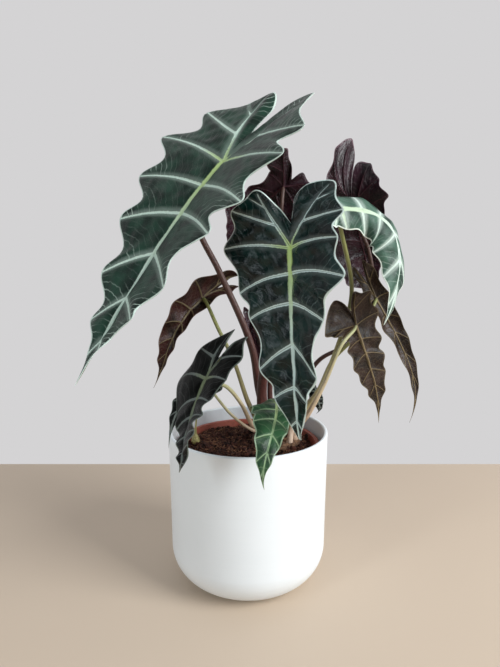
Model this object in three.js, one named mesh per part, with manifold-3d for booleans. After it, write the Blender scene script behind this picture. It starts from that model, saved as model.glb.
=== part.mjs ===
// Potted alocasia: a white ceramic cover pot, a plastic nursery pot standing inside it, potting mix,
// a corm, and arrow-shaped leaves on long petioles. Millimetres, +Z up.
// The origin is the centre of the cover pot's underside; -Y is the plant's front.
import * as THREE from "three";
import { mergeVertices } from "three/addons/utils/BufferGeometryUtils.js";
import Module from "manifold-3d";

const wasm = await Module();
wasm.setup();

// ---------- driving dimensions ----------
const gap = 0.3; // clearance left between pieces that touch on the real plant

const potRadius = 70;
const potTaper = 1.2;
const potHeight = 134;
const potWall = 3.2;
const potFloor = 6;
const potFootRadius = 31; // rounding between wall and floor, outside
const potRimRound = 1.4;

const linerClearance = 3.8; // all round, between the nursery pot's rim and the cover pot
const linerRimRadius = potRadius - potWall - linerClearance;
const linerWall = 1.2;
const linerRimRoll = 2.4;
const linerRimDrop = 4;
const linerTaper = 25;
const linerBaseRadius = linerRimRadius - linerTaper;
const linerFloor = 1.5;
const linerBelowRim = 11.5;
const linerRimTop = potHeight - linerBelowRim;
const drainHoleCount = 8;
const drainHoleRadius = 5;
const drainRingRadius = 26;

const soilBelowLiner = 4;
const soilTop = linerRimTop - soilBelowLiner;
const soilEdgeDrop = 3;
const soilEdgeWidth = 13;
const soilFlatRadius = linerRimRadius - soilEdgeWidth;

const cormRadius = 22;
const cormHeight = 7;
const cormX = 25;
const cormY = 4;

const bladeThickness = 0.9;
const scallop = 0.12; // how far the margin cuts in between two vein ends, as a share of the half width

// ---------- materials ----------
function surface(color, roughness, metalness = 0) {
  return new THREE.MeshStandardMaterial({ color, roughness, metalness, side: THREE.DoubleSide });
}

const glazedWhite = surface(0xf1f1ee, 0.35);
const linerPlastic = surface(0x9c4a36, 0.5);
const pottingMix = surface(0x4a2a1c, 0.95);
const cormSkin = surface(0x7d6650, 0.8);
const leafGreen = surface(0x16302a, 0.4);
const leafPurple = surface(0x38201f, 0.4);
const youngGreen = surface(0x3f6b3c, 0.45);
const petioleMaroon = surface(0x54322a, 0.5);
const petioleOlive = surface(0x8b8f58, 0.5);
const petiolePink = surface(0xc3a88f, 0.55);
const sheathPink = surface(0xd0b8a2, 0.6);

const plant = new THREE.Group();
plant.name = "potted_alocasia";

function add(name, geometry, material) {
  const mesh = new THREE.Mesh(geometry, material);
  mesh.name = name;
  plant.add(mesh);
  return mesh;
}

// ---------- shared builders ----------

// Turned piece: [radius, height] points, from the axis round the section and back to the axis.
function turned(points, segments) {
  const profile = points.map(([r, z]) => new THREE.Vector2(r, z));
  return new THREE.LatheGeometry(profile, segments).rotateX(Math.PI / 2);
}

// Points of a round corner in a turned section, angles in degrees from the outward radius.
function cornerArc(centreR, centreZ, radius, from, to, steps) {
  const points = [];
  for (let i = 0; i <= steps; i++) {
    const a = THREE.MathUtils.degToRad(from + ((to - from) * i) / steps);
    points.push([centreR + radius * Math.cos(a), centreZ + radius * Math.sin(a)]);
  }
  return points;
}

// Closed body from triangles over a point list; turned to face outwards.
function closedBody(points, faces) {
  let volume = 0;
  for (const [a, b, c] of faces) {
    volume += points[a].dot(new THREE.Vector3().crossVectors(points[b], points[c]));
  }
  const outward = volume > 0 ? faces : faces.map(([a, b, c]) => [a, c, b]);
  const geometry = new THREE.BufferGeometry().setFromPoints(points);
  geometry.setIndex(outward.flat());
  geometry.computeVertexNormals();
  return geometry;
}

// Solid for cutting, and back to a geometry.
function solid(geometry) {
  const bare = geometry.clone();
  bare.deleteAttribute("normal");
  bare.deleteAttribute("uv");
  const merged = mergeVertices(bare, 1e-4);
  const vertProperties = new Float32Array(merged.getAttribute("position").array);
  const triVerts = new Uint32Array(merged.index.array);
  return new wasm.Manifold(new wasm.Mesh({ numProp: 3, vertProperties, triVerts }));
}

function geometryOf(made) {
  const mesh = made.getMesh();
  const geometry = new THREE.BufferGeometry();
  geometry.setAttribute("position", new THREE.BufferAttribute(mesh.vertProperties, 3));
  geometry.setIndex(new THREE.BufferAttribute(mesh.triVerts, 1));
  const flat = geometry.toNonIndexed();
  flat.computeVertexNormals();
  return flat;
}

// Round stalk along a smooth curve, with a radius that runs from the foot to the top.
function stalk(stations, footRadius, topRadius, rings, sides) {
  const curve = new THREE.CatmullRomCurve3(stations, false, "centripetal");
  const frames = curve.computeFrenetFrames(rings, false);
  const points = [];
  for (let i = 0; i <= rings; i++) {
    const t = i / rings;
    const swell = 1 + 0.2 * Math.exp(-t * 9);
    const radius = (footRadius + (topRadius - footRadius) * t) * swell;
    const centre = curve.getPointAt(t);
    for (let k = 0; k < sides; k++) {
      const a = (2 * Math.PI * k) / sides;
      const out = frames.normals[i]
        .clone()
        .multiplyScalar(Math.cos(a) * radius)
        .addScaledVector(frames.binormals[i], Math.sin(a) * radius);
      points.push(centre.clone().add(out));
    }
  }
  const faces = [];
  for (let i = 0; i < rings; i++) {
    for (let k = 0; k < sides; k++) {
      const a = i * sides + k;
      const b = i * sides + ((k + 1) % sides);
      faces.push([a, b, b + sides]);
      faces.push([a, b + sides, a + sides]);
    }
  }
  const top = rings * sides;
  for (let k = 1; k < sides - 1; k++) {
    faces.push([0, k + 1, k]);
    faces.push([top, top + k, top + k + 1]);
  }
  return closedBody(points, faces);
}

// ---------- the leaf ----------
// A blade is drawn flat first: u runs along the midrib (0 at the petiole, 1 at the tip), w runs out
// sideways. Both are shares of the length from petiole to tip. The margin is a smooth line through
// the vein ends, starting in the notch between the two rear lobes.
const commonMargin = [
  [-0.16, 0.0],
  [-0.28, 0.07],
  [-0.4, 0.17],
  [-0.25, 0.315],
  [0.0, 0.365],
  [0.2, 0.325],
  [0.37, 0.262],
  [0.55, 0.185],
  [0.73, 0.105],
  [0.87, 0.045],
  [1.0, 0.0],
];
const narrowed = (margin, share) => margin.map(([u, w]) => [u, w * share]);
const veinStarts = [-0.16, -0.07, 0, 0, 0, 0.14, 0.28, 0.45, 0.62, 0.78, 1];
const spans = commonMargin.length - 1;
const lobeTipStation = 2;
const rear = -0.4; // the spine's rear end, between the lobes
const spineStations = [rear, 0, 0.33, 0.67, 1];

function marginPoint(margin, station, scallopDepth) {
  const i = Math.min(Math.floor(station), spans - 1);
  const f = station - i;
  const at = (k) => margin[Math.max(0, Math.min(spans, k))];
  const blend = (n) => {
    const [p, q, r, s] = [at(i - 1)[n], at(i)[n], at(i + 1)[n], at(i + 2)[n]];
    return 0.5 * (2 * q + (r - p) * f + (2 * p - 5 * q + 4 * r - s) * f * f + (3 * q - p - 3 * r + s) * f ** 3);
  };
  const cut = station > lobeTipStation ? scallopDepth * Math.sin(Math.PI * station) ** 2 : 0;
  return [blend(0), blend(1) * (1 - cut)];
}

function veinStart(station) {
  const i = Math.min(Math.floor(station), spans - 1);
  return veinStarts[i] + (veinStarts[i + 1] - veinStarts[i]) * (station - i);
}

// Point and direction on the spine: one smooth curve through the five spine points.
function spineAt(spine, u) {
  const point = new THREE.Vector3();
  const along = new THREE.Vector3();
  spineStations.forEach((ui, i) => {
    let weight = 1;
    let slope = 0;
    spineStations.forEach((uj, j) => {
      if (j === i) return;
      weight *= (u - uj) / (ui - uj);
      let term = 1 / (ui - uj);
      spineStations.forEach((uk, k) => {
        if (k !== i && k !== j) term *= (u - uk) / (ui - uk);
      });
      slope += term;
    });
    point.addScaledVector(spine[i], weight);
    along.addScaledVector(spine[i], slope);
  });
  return { point, along: along.normalize() };
}

// Upward side of the blade on the spine, blended between rear end, middle and tip.
function faceAt(faces, along, u) {
  const k = (u - rear) / (1 - rear);
  const face = new THREE.Vector3()
    .addScaledVector(faces[0], (1 - k) * (1 - 2 * k))
    .addScaledVector(faces[1], 4 * k * (1 - k))
    .addScaledVector(faces[2], k * (2 * k - 1));
  return face.addScaledVector(along, -face.dot(along)).normalize();
}

// Lay a flat point on the hanging blade: each half leaves the midrib at its fold angle and curls
// along a circular arc; the margin waves between vein ends.
function layOn(leaf, u, w, wave) {
  const { point, along } = spineAt(leaf.spine, u);
  const face = faceAt(leaf.faces, along, u);
  const side = new THREE.Vector3().crossVectors(along, face);
  const half = w >= 0 ? 0 : 1;
  const scale = leaf.length * leaf.width;
  const run = Math.abs(w) * scale;
  const bend = leaf.curl[half] / (0.35 * scale);
  const start = leaf.fold[half];
  const out = (Math.sin(start + bend * run) - Math.sin(start)) / bend;
  const up = (Math.cos(start) - Math.cos(start + bend * run)) / bend;
  return point.addScaledVector(side, Math.sign(w) * out).addScaledVector(face, up + wave);
}

// Closed thin blade over a grid of stations by steps out from the midrib.
function blade(leaf) {
  const perSpan = leaf.fine ? 2 : 1;
  const steps = leaf.fine ? 4 : 3;
  const flat = [];
  const seen = new Map();
  const vertexAt = (u, w, wave) => {
    const key = `${u.toFixed(4)},${w.toFixed(4)}`;
    if (!seen.has(key)) {
      seen.set(key, flat.length);
      flat.push([u, w, wave]);
    }
    return seen.get(key);
  };
  const skin = [];
  const addFace = (a, b, c) => {
    if (a !== b && b !== c && c !== a) skin.push([a, b, c]);
  };
  for (const half of [0, 1]) {
    const sign = half === 0 ? 1 : -1;
    const margin = leaf.margins[half];
    const grid = [];
    for (let i = 0; i <= spans * perSpan; i++) {
      const station = i / perSpan;
      const [mu, mw] = marginPoint(margin, station, leaf.scallop);
      const start = Math.max(veinStart(station), margin[0][0]);
      const row = [];
      for (let s = 0; s <= steps; s++) {
        const f = s / steps;
        const wave = leaf.wave * f * f * (mw / margin[4][1]) * Math.sin(1.5 * Math.PI * station + half * 2);
        row.push(vertexAt(start + (mu - start) * f, sign * mw * f, wave));
      }
      grid.push(row);
    }
    for (let i = 0; i < grid.length - 1; i++) {
      for (let s = 0; s < steps; s++) {
        const [a, b, c, d] = [grid[i][s], grid[i + 1][s], grid[i + 1][s + 1], grid[i][s + 1]];
        if (half === 0) {
          addFace(a, b, c);
          addFace(a, c, d);
        } else {
          addFace(a, c, b);
          addFace(a, d, c);
        }
      }
    }
  }
  const top = flat.map(([u, w, wave]) => layOn(leaf, u, w, wave));
  const outward = top.map(() => new THREE.Vector3());
  for (const [a, b, c] of skin) {
    const ab = new THREE.Vector3().subVectors(top[b], top[a]);
    const ac = new THREE.Vector3().subVectors(top[c], top[a]);
    const normal = ab.cross(ac);
    for (const v of [a, b, c]) outward[v].add(normal);
  }
  const under = top.map((p, i) => p.clone().addScaledVector(outward[i].normalize(), -bladeThickness));
  const count = top.length;
  const edges = new Map();
  for (const [a, b, c] of skin) {
    for (const [p, q] of [[a, b], [b, c], [c, a]]) {
      if (edges.has(`${q},${p}`)) edges.delete(`${q},${p}`);
      else edges.set(`${p},${q}`, [p, q]);
    }
  }
  const faces = [...skin];
  for (const [a, b, c] of skin) faces.push([a + count, c + count, b + count]);
  for (const [p, q] of edges.values()) {
    faces.push([q, p, p + count]);
    faces.push([q, p + count, q + count]);
  }
  return closedBody([...top, ...under], faces);
}

// Leaf points are given from the pot's axis and from its rim.
const vec = ([x, y, z]) => new THREE.Vector3(x, y, z + potHeight);

// One leaf: its blade and the petiole that carries it from the corm to the middle of the underside.
function leaf(name, size, petiole) {
  const spec = {
    fine: true,
    wave: 1.6,
    scallop,
    margins: [commonMargin, commonMargin],
    ...size,
    spine: size.spine.map(vec),
    faces: size.faces.map((face) => new THREE.Vector3(...face)),
  };
  add(`${name}_blade`, blade(spec), size.material);
  const { point, along } = spineAt(spec.spine, 0);
  const face = faceAt(spec.faces, along, 0);
  const droop = Math.tan(Math.max(0, -Math.min(...spec.fold)));
  const drop = bladeThickness + 2 * gap + (petiole.top + bladeThickness + gap) * droop;
  const end = point.clone().addScaledVector(face, -drop);
  const before = end.clone().addScaledVector(face, -petiole.neck);
  const foot = new THREE.Vector3(petiole.foot[0], petiole.foot[1], soilTop + cormHeight + gap);
  const rise = foot.clone().add(new THREE.Vector3(0, 0, 6));
  const stations = [foot, rise, ...petiole.through.map(vec), before, end];
  add(`${name}_petiole`, stalk(stations, petiole.base, petiole.top, petiole.rings ?? 12, 8), petiole.material);
}

// ---------- cover pot ----------
const footCentre = potRadius - potTaper - potFootRadius;
const innerFoot = potFootRadius - potWall;
add(
  "cover_pot",
  turned(
    [
      [0, 0],
      ...cornerArc(footCentre, potFootRadius, potFootRadius, -90, 0, 7),
      ...cornerArc(potRadius - potRimRound, potHeight - potRimRound, potRimRound, 0, 90, 3),
      ...cornerArc(potRadius - potWall + potRimRound, potHeight - potRimRound, potRimRound, 90, 180, 3),
      ...cornerArc(footCentre, potFootRadius + potFloor - potWall, innerFoot, 0, -90, 6),
      [0, potFloor],
    ],
    48,
  ),
  glazedWhite,
);

// ---------- nursery pot ----------
const linerFoot = potFloor + gap;
const linerWallTop = linerRimRadius - linerRimRoll;
const linerSection = turned(
  [
    [0, linerFoot],
    [linerBaseRadius, linerFoot],
    [linerWallTop, linerRimTop - linerRimDrop],
    [linerRimRadius, linerRimTop - linerRimDrop],
    [linerRimRadius, linerRimTop],
    [linerWallTop - linerWall, linerRimTop],
    [linerBaseRadius - linerWall, linerFoot + linerFloor],
    [0, linerFoot + linerFloor],
  ],
  48,
);
let liner = solid(linerSection);
for (let i = 0; i < drainHoleCount; i++) {
  const a = (2 * Math.PI * i) / drainHoleCount;
  const plug = new THREE.CylinderGeometry(drainHoleRadius, drainHoleRadius, 4 * linerFloor, 14);
  plug.rotateX(Math.PI / 2);
  plug.translate(drainRingRadius * Math.cos(a), drainRingRadius * Math.sin(a), linerFoot + linerFloor / 2);
  liner = liner.subtract(solid(plug));
}
add("nursery_pot", geometryOf(liner), linerPlastic);

// ---------- potting mix ----------
const mixFoot = linerFoot + linerFloor + gap;
const mixEdge = soilTop - soilEdgeDrop;
const linerSlope = (linerWallTop - linerBaseRadius) / (linerRimTop - linerFoot - linerFloor);
const mixEdgeRadius = linerBaseRadius - linerWall + linerSlope * (mixEdge - mixFoot) - gap;
add(
  "potting_mix",
  turned(
    [
      [0, mixFoot],
      [linerBaseRadius - linerWall - gap, mixFoot],
      [mixEdgeRadius, mixEdge],
      [soilFlatRadius, soilTop],
      [0, soilTop],
    ],
    40,
  ),
  pottingMix,
);

// ---------- corm ----------
const cormFoot = soilTop + gap;
const cormBody = turned(
  [
    [0, cormFoot],
    [cormRadius - 1.5, cormFoot],
    [cormRadius, cormFoot + 2],
    [cormRadius - 1.5, soilTop + cormHeight],
    [0, soilTop + cormHeight],
  ],
  28,
);
add("corm", cormBody.translate(cormX, cormY, 0), cormSkin);

// ---------- leaves ----------
leaf(
  "leaf_tall_left",
  {
    length: 225,
    width: 0.95,
    scallop: 0.28,
    fold: [0.05, 0.38],
    curl: [-0.08, -0.1],
    spine: [[38, 22, 282], [-20, -2, 228], [-59, -24, 176], [-98, -53, 110], [-116, -105, 65]],
    faces: [[-0.36, -0.59, 0.72], [-0.46, -0.8, 0.39], [-0.51, -0.83, 0.21]],
    material: leafGreen,
    margins: [
      [[-0.16, 0], [-0.31, 0.08], [-0.41, 0.14], [-0.2, 0.34], [-0.03, 0.42], [0.19, 0.34],
        [0.38, 0.26], [0.57, 0.17], [0.72, 0.1], [0.84, 0.05], [1, 0]],
      [[-0.16, 0], [-0.33, 0.03], [-0.42, 0.15], [-0.2, 0.34], [-0.01, 0.37], [0.22, 0.33],
        [0.35, 0.25], [0.57, 0.2], [0.72, 0.15], [0.84, 0.06], [1, 0]],
    ],
  },
  {
    foot: [19, 11],
    through: [[10, 11, 31], [3, 8, 72], [-25, 9, 138], [-43, 11, 176], [-42, 8, 204]],
    base: 3.6,
    top: 2.2,
    neck: 10,
    rings: 16,
    material: petioleMaroon,
  },
);
leaf(
  "leaf_front",
  {
    length: 148,
    width: 1.04,
    scallop: 0.14,
    fold: [0.2, 0.5],
    curl: [-0.26, -0.3],
    spine: [[34, -58, 199], [31, -64, 157], [32, -70, 109], [35, -76, 48], [41, -62, 12]],
    faces: [[-0.32, -0.92, -0.23], [-0.64, -0.75, 0.16], [-0.31, -0.95, 0.07]],
    material: leafGreen,
    margins: [
      [[-0.16, 0], [-0.28, 0.07], [-0.38, 0.19], [-0.25, 0.31], [-0.02, 0.39], [0.22, 0.31],
        [0.34, 0.24], [0.55, 0.18], [0.67, 0.11], [0.82, 0.05], [1, 0]],
      [[-0.16, 0], [-0.37, 0.02], [-0.42, 0.2], [-0.21, 0.31], [-0.02, 0.33], [0.19, 0.38],
        [0.36, 0.24], [0.57, 0.17], [0.67, 0.1], [0.82, 0.045], [1, 0]],
    ],
  },
  {
    foot: [14.5, 2],
    through: [[12, 0, 35], [20, -20, 91]],
    base: 4.8,
    top: 2.4,
    neck: 12,
    material: petioleMaroon,
  },
);
leaf(
  "leaf_right_arch",
  {
    length: 135,
    width: 0.8,
    fold: [-0.35, 0.1],
    curl: [-1.2, -1.2],
    spine: [[38, -58, 189], [75, -18, 189], [116, 3, 181], [129, 0, 141], [115, -8, 93]],
    faces: [[-0.1, -0.35, 0.93], [0.75, -0.45, 0.45], [0.75, -0.6, 0.1]],
    material: leafGreen,
    margins: [
      [[-0.06, 0], [-0.09, 0.03], [-0.12, 0.08], [-0.08, 0.14], [0.02, 0.16], [0.2, 0.2],
        [0.38, 0.27], [0.57, 0.24], [0.74, 0.15], [0.88, 0.07], [1, 0]],
      [[-0.06, 0], [-0.13, 0.05], [-0.2, 0.14], [-0.12, 0.25], [0, 0.3], [0.18, 0.31],
        [0.36, 0.26], [0.55, 0.2], [0.73, 0.13], [0.87, 0.06], [1, 0]],
    ],
  },
  {
    foot: [38, 8],
    through: [[61, 6, 29], [80, 18, 68], [93, 22, 118]],
    base: 2.4,
    top: 1.7,
    neck: 8,
    rings: 16,
    material: petioleOlive,
  },
);
leaf(
  "leaf_back_right",
  {
    length: 90,
    width: 0.9,
    fold: [-0.25, -0.25],
    curl: [-0.4, -0.4],
    spine: [[95, 46, 222], [101, 56, 187], [111, 68, 162], [120, 72, 136], [129, 68, 112]],
    faces: [[0.1, 0.9, 0.4], [0.1, 0.95, 0.2], [0, 1, 0]],
    material: leafPurple,
    margins: [
      [[-0.16, 0], [-0.6, 0.06], [-0.57, 0.2], [-0.4, 0.3], [-0.24, 0.44], [-0.05, 0.38],
        [0.31, 0.27], [0.6, 0.17], [0.78, 0.1], [0.9, 0.05], [1, 0]],
      [[-0.16, 0], [-0.62, 0.02], [-0.69, 0.16], [-0.56, 0.3], [-0.38, 0.31], [-0.15, 0.33],
        [0.11, 0.42], [0.5, 0.46], [0.77, 0.34], [0.9, 0.2], [1, 0]],
    ],
  },
  {
    foot: [32, 15],
    through: [[64, 28, 54], [96, 42, 71], [119, 54, 118], [114, 52, 157]],
    base: 2.2,
    top: 1.6,
    neck: 6,
    rings: 18,
    material: petioleMaroon,
  },
);
leaf(
  "leaf_back_centre",
  {
    length: 70,
    width: 1,
    fold: [-0.1, -0.1],
    curl: [-0.2, -0.2],
    spine: [[45, 20, 224], [31, 26, 212], [14, 34, 199], [-4, 36, 184], [-19, 30, 165]],
    faces: [[0, 0.95, 0.3], [0, 0.98, 0.2], [0, 1, 0]],
    material: leafPurple,
    margins: [
      [[-0.16, 0], [-0.45, 0.04], [-0.4, 0.22], [-0.27, 0.38], [0.1, 0.48], [0.38, 0.46],
        [0.6, 0.4], [0.82, 0.29], [0.92, 0.19], [0.98, 0.09], [1, 0]],
      [[-0.16, 0], [-0.35, 0.16], [-0.39, 0.36], [-0.07, 0.37], [0.02, 0.25], [0.33, 0.28],
        [0.54, 0.3], [0.76, 0.28], [0.88, 0.2], [0.95, 0.1], [1, 0]],
    ],
  },
  {
    foot: [25, 17],
    through: [[20, 16, 22], [25, 20, 112]],
    base: 2.4,
    top: 1.7,
    neck: 8,
    material: petioleMaroon,
  },
);
leaf(
  "leaf_left",
  {
    length: 98,
    width: 0.64,
    fold: [-0.7, -0.55],
    curl: [-0.5, -0.5],
    margins: [narrowed(commonMargin, 0.55), commonMargin],
    spine: [[-7, 40, 128], [-42, 29, 113], [-62, 14, 89], [-74, 12, 62], [-86, 14, 33]],
    faces: [[0.19, 0.97, 0.13], [0.15, 0.98, 0.15], [0, 1, 0]],
    material: leafPurple,
  },
  {
    foot: [10, 9],
    through: [[-1, 4, 25], [-13, 4, 61], [-27, 10, 89]],
    base: 2.2,
    top: 1.5,
    neck: 6,
    material: petioleOlive,
  },
);
leaf(
  "leaf_lower_left",
  {
    length: 99,
    width: 0.77,
    fold: [0.05, 0.57],
    curl: [-0.5, -0.6],
    spine: [[-7, -18, 86], [-33, -43, 55], [-44, -68, 27], [-47, -88, 9], [-51, -80, -7]],
    faces: [[-0.49, -0.75, 0.44], [-0.55, -0.83, -0.12], [-0.5, -0.86, 0.06]],
    material: leafGreen,
    margins: [
      [[-0.16, 0], [-0.28, 0.04], [-0.42, 0.13], [-0.19, 0.3], [-0.01, 0.49], [0.22, 0.34],
        [0.34, 0.22], [0.48, 0.14], [0.65, 0.09], [0.87, 0.04], [1, 0]],
      [[-0.16, 0], [-0.24, 0.1], [-0.42, 0.12], [-0.21, 0.33], [0.02, 0.35], [0.22, 0.3],
        [0.35, 0.29], [0.5, 0.27], [0.62, 0.2], [0.76, 0.08], [1, 0]],
    ],
  },
  {
    foot: [11, -5],
    through: [[-1, -8, 4], [-8, -18, 29], [-18, -28, 45]],
    base: 2,
    top: 1.4,
    neck: 5,
    material: petiolePink,
  },
);
leaf(
  "leaf_lower_left_rear",
  {
    length: 62,
    width: 0.75,
    fold: [0, 0.2],
    curl: [-0.5, -0.5],
    spine: [[-28, -8, 57], [-36, -16, 47], [-47, -28, 38], [-58, -39, 25], [-64, -44, -2]],
    faces: [[-0.3, -0.8, 0.5], [-0.4, -0.9, 0.1], [-0.3, -0.95, 0]],
    material: leafGreen,
    fine: false,
  },
  {
    foot: [16, -9.5],
    through: [[-4, -13, -7], [-17, -18, 14]],
    base: 1.5,
    top: 1.1,
    neck: 5,
    material: petiolePink,
  },
);
leaf(
  "leaf_lower_right",
  {
    length: 102,
    width: 0.75,
    scallop: 0.2,
    fold: [0.1, -0.1],
    curl: [-0.1, -0.2],
    spine: [[84, -6, 119], [95, 9, 91], [106, 10, 62], [117, 18, 31], [122, 23, -3]],
    faces: [[0.1, 0.93, 0.36], [-0.15, 0.95, 0.05], [0, 1, 0.08]],
    material: leafPurple,
    margins: [
      [[-0.16, 0], [-0.3, 0.03], [-0.45, 0.1], [-0.32, 0.27], [-0.05, 0.3], [0.2, 0.24],
        [0.37, 0.22], [0.55, 0.18], [0.73, 0.11], [0.87, 0.045], [1, 0]],
      [[-0.16, 0], [-0.36, 0.14], [-0.04, 0.4], [0.03, 0.3], [0.08, 0.2], [0.2, 0.2],
        [0.37, 0.22], [0.55, 0.17], [0.73, 0.1], [0.87, 0.04], [1, 0]],
    ],
  },
  {
    foot: [41.5, -3],
    through: [[52, -8, 15], [65, -10, 42], [79.5, -10, 77]],
    base: 2.4,
    top: 1.3,
    neck: 8,
    material: petiolePink,
  },
);
leaf(
  "leaf_right_hanging",
  {
    length: 106,
    width: 0.35,
    fold: [-0.3, -0.3],
    curl: [-0.5, -0.5],
    spine: [[100, 38, 146], [120, 42, 112], [141, 40, 75], [157, 36, 35], [153, 30, -5]],
    faces: [[-0.2, 0.95, 0.2], [-0.3, 0.95, 0.1], [-0.2, 0.97, 0]],
    material: leafPurple,
    fine: false,
  },
  {
    foot: [29, 8],
    through: [[61, 15, 26], [78, 26, 56], [100, 30, 79]],
    base: 2.2,
    top: 1.5,
    neck: 5,
    rings: 16,
    material: petioleOlive,
  },
);
leaf(
  "leaf_over_rim",
  {
    length: 75,
    width: 0.83,
    fold: [0.15, 0.15],
    curl: [-0.5, -0.6],
    margins: [commonMargin, narrowed(commonMargin, 0.7)],
    spine: [[22, -14, 31], [23, -41, 35], [20, -69, 27], [13, -91, 9], [12, -92, -15]],
    faces: [[-0.1, -0.83, 0.51], [-0.05, -0.95, 0.13], [-0.15, -0.97, -0.1]],
    material: youngGreen,
  },
  {
    foot: [22, -11],
    through: [[22, -20, 10]],
    base: 1.8,
    top: 1.3,
    neck: 5,
    rings: 8,
    material: petiolePink,
  },
);
leaf(
  "leaf_small_centre",
  {
    length: 44,
    width: 0.54,
    fold: [-0.4, -0.26],
    curl: [-0.5, -0.43],
    spine: [[-1, 19, 109], [4, 21, 93], [6, 20, 78], [9, 19, 63], [12, 18, 48]],
    faces: [[0, 0.96, 0.28], [0, 0.98, 0.17], [0, 1, 0.09]],
    material: leafPurple,
    wave: 0.6,
    fine: false,
  },
  {
    foot: [17, 19.5],
    through: [[15, 18, 30], [14, 12, 67]],
    base: 1.8,
    top: 1.2,
    neck: 4,
    rings: 10,
    material: petioleMaroon,
  },
);
leaf(
  "leaf_small_curled",
  {
    length: 22,
    width: 1.1,
    fold: [-0.1, -0.1],
    curl: [-0.8, -0.8],
    spine: [[66, 30, 32], [64, 27, 26], [65, 23, 19], [67, 25, 11], [64, 29, 4]],
    faces: [[0.3, -0.8, 0.5], [0.2, -0.95, 0], [0.1, -0.8, -0.5]],
    material: leafGreen,
    wave: 0.3,
    fine: false,
  },
  {
    foot: [41, 14.5],
    through: [[50, 24, 8]],
    base: 1.5,
    top: 1.1,
    neck: 4,
    rings: 8,
    material: petiolePink,
  },
);

// ---------- papery sheaths at the crown ----------
// A rolled, tapering sheet: it stands on the corm, wraps part of a circle and ends in a point.
function sheath(name, footX, footY, height, radius, lean, opening, turn) {
  const thickness = 0.8;
  const rows = 8;
  const steps = 8;
  const points = [];
  for (const skin of [0, 1]) {
    for (let i = 0; i <= rows; i++) {
      const v = i / rows;
      const ring = (radius - skin * thickness) * (1 - 0.25 * v);
      const half = (opening / 2) * (1 - v) ** 0.8 + 0.12;
      for (let k = 0; k <= steps; k++) {
        const a = turn + half * ((2 * k) / steps - 1);
        const x = footX + ring * Math.cos(a) + lean[0] * v * v;
        const y = footY + ring * Math.sin(a) + lean[1] * v * v;
        points.push(new THREE.Vector3(x, y, soilTop + cormHeight + gap + height * v));
      }
    }
  }
  const perSkin = (rows + 1) * (steps + 1);
  const at = (skin, i, k) => skin * perSkin + i * (steps + 1) + k;
  const faces = [];
  const quad = (a, b, c, d) => {
    faces.push([a, b, c]);
    faces.push([a, c, d]);
  };
  for (let i = 0; i < rows; i++) {
    for (let k = 0; k < steps; k++) {
      quad(at(0, i, k), at(0, i, k + 1), at(0, i + 1, k + 1), at(0, i + 1, k));
      quad(at(1, i, k), at(1, i + 1, k), at(1, i + 1, k + 1), at(1, i, k + 1));
    }
    quad(at(0, i, 0), at(0, i + 1, 0), at(1, i + 1, 0), at(1, i, 0));
    quad(at(0, i, steps), at(1, i, steps), at(1, i + 1, steps), at(0, i + 1, steps));
  }
  for (let k = 0; k < steps; k++) {
    quad(at(0, 0, k), at(1, 0, k), at(1, 0, k + 1), at(0, 0, k + 1));
    quad(at(0, rows, k), at(0, rows, k + 1), at(1, rows, k + 1), at(1, rows, k));
  }
  add(name, closedBody(points, faces), sheathPink);
}
sheath("sheath_front", 28, -3, 36, 3.6, [6, -4], 4.2, -1.6);
sheath("sheath_right", 36, -11, 30, 3.2, [8, 2], 3.8, -0.8);

// ---------- offset shoot ----------
// A bulbil the size of a pea resting on the mix, with a dry stalk above it.
const shootFoot = soilTop + gap;
const shootInset = 16; // from the nursery pot's rim
const shootBody = turned(
  [
    [0, shootFoot],
    [2, shootFoot],
    [3.6, shootFoot + 3.5],
    [2.8, shootFoot + 7],
    [1.1, shootFoot + 10],
    [0.7, shootFoot + 25],
    [0, shootFoot + 26],
  ],
  12,
);
add("offset_shoot", shootBody.translate(shootInset - linerRimRadius, 0, 0), petioleOlive);

export default plant;
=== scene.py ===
import bpy
import numpy as np
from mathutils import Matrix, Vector


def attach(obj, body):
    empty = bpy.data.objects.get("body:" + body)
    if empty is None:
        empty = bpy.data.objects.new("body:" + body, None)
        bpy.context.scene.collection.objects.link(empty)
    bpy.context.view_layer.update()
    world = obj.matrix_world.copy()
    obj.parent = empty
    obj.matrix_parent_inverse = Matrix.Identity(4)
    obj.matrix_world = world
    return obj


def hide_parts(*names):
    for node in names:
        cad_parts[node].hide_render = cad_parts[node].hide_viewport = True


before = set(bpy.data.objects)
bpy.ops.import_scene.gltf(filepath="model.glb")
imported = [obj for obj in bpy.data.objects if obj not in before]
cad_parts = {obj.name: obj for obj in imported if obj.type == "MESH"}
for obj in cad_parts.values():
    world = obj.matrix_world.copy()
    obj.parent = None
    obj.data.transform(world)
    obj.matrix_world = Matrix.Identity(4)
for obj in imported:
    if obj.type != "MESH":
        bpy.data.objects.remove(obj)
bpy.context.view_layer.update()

# ---------- cover pot ----------
# White ceramic cachepot, slip cast with an even wall, a rolled lip and a broad round foot.
# The outside has a satin glaze; the foot stands flat on the table.


def put(tree, kind, inputs=None, **settings):
    """Adds a shader node, sets its options, and links or fills its inputs."""
    node = tree.nodes.new(kind)
    for key, value in settings.items():
        setattr(node, key, value)
    for key, value in (inputs or {}).items():
        if isinstance(value, bpy.types.NodeSocket):
            tree.links.new(value, node.inputs[key])
        else:
            node.inputs[key].default_value = value
    return node


def tone(red, green, blue):
    """Display colour 0-255 to linear light: ((c + 0.055) / 1.055) ^ 2.4 per channel."""
    share = np.array([red, green, blue]) / 255.0
    linear = np.where(share <= 0.04045, share / 12.92, ((share + 0.055) / 1.055) ** 2.4)
    return (*[float(c) for c in linear], 1.0)


def maths(tree, operation, first, second=0.0):
    """One arithmetic node on two numbers."""
    return put(tree, "ShaderNodeMath", {0: first, 1: second}, operation=operation).outputs[0]


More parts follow.
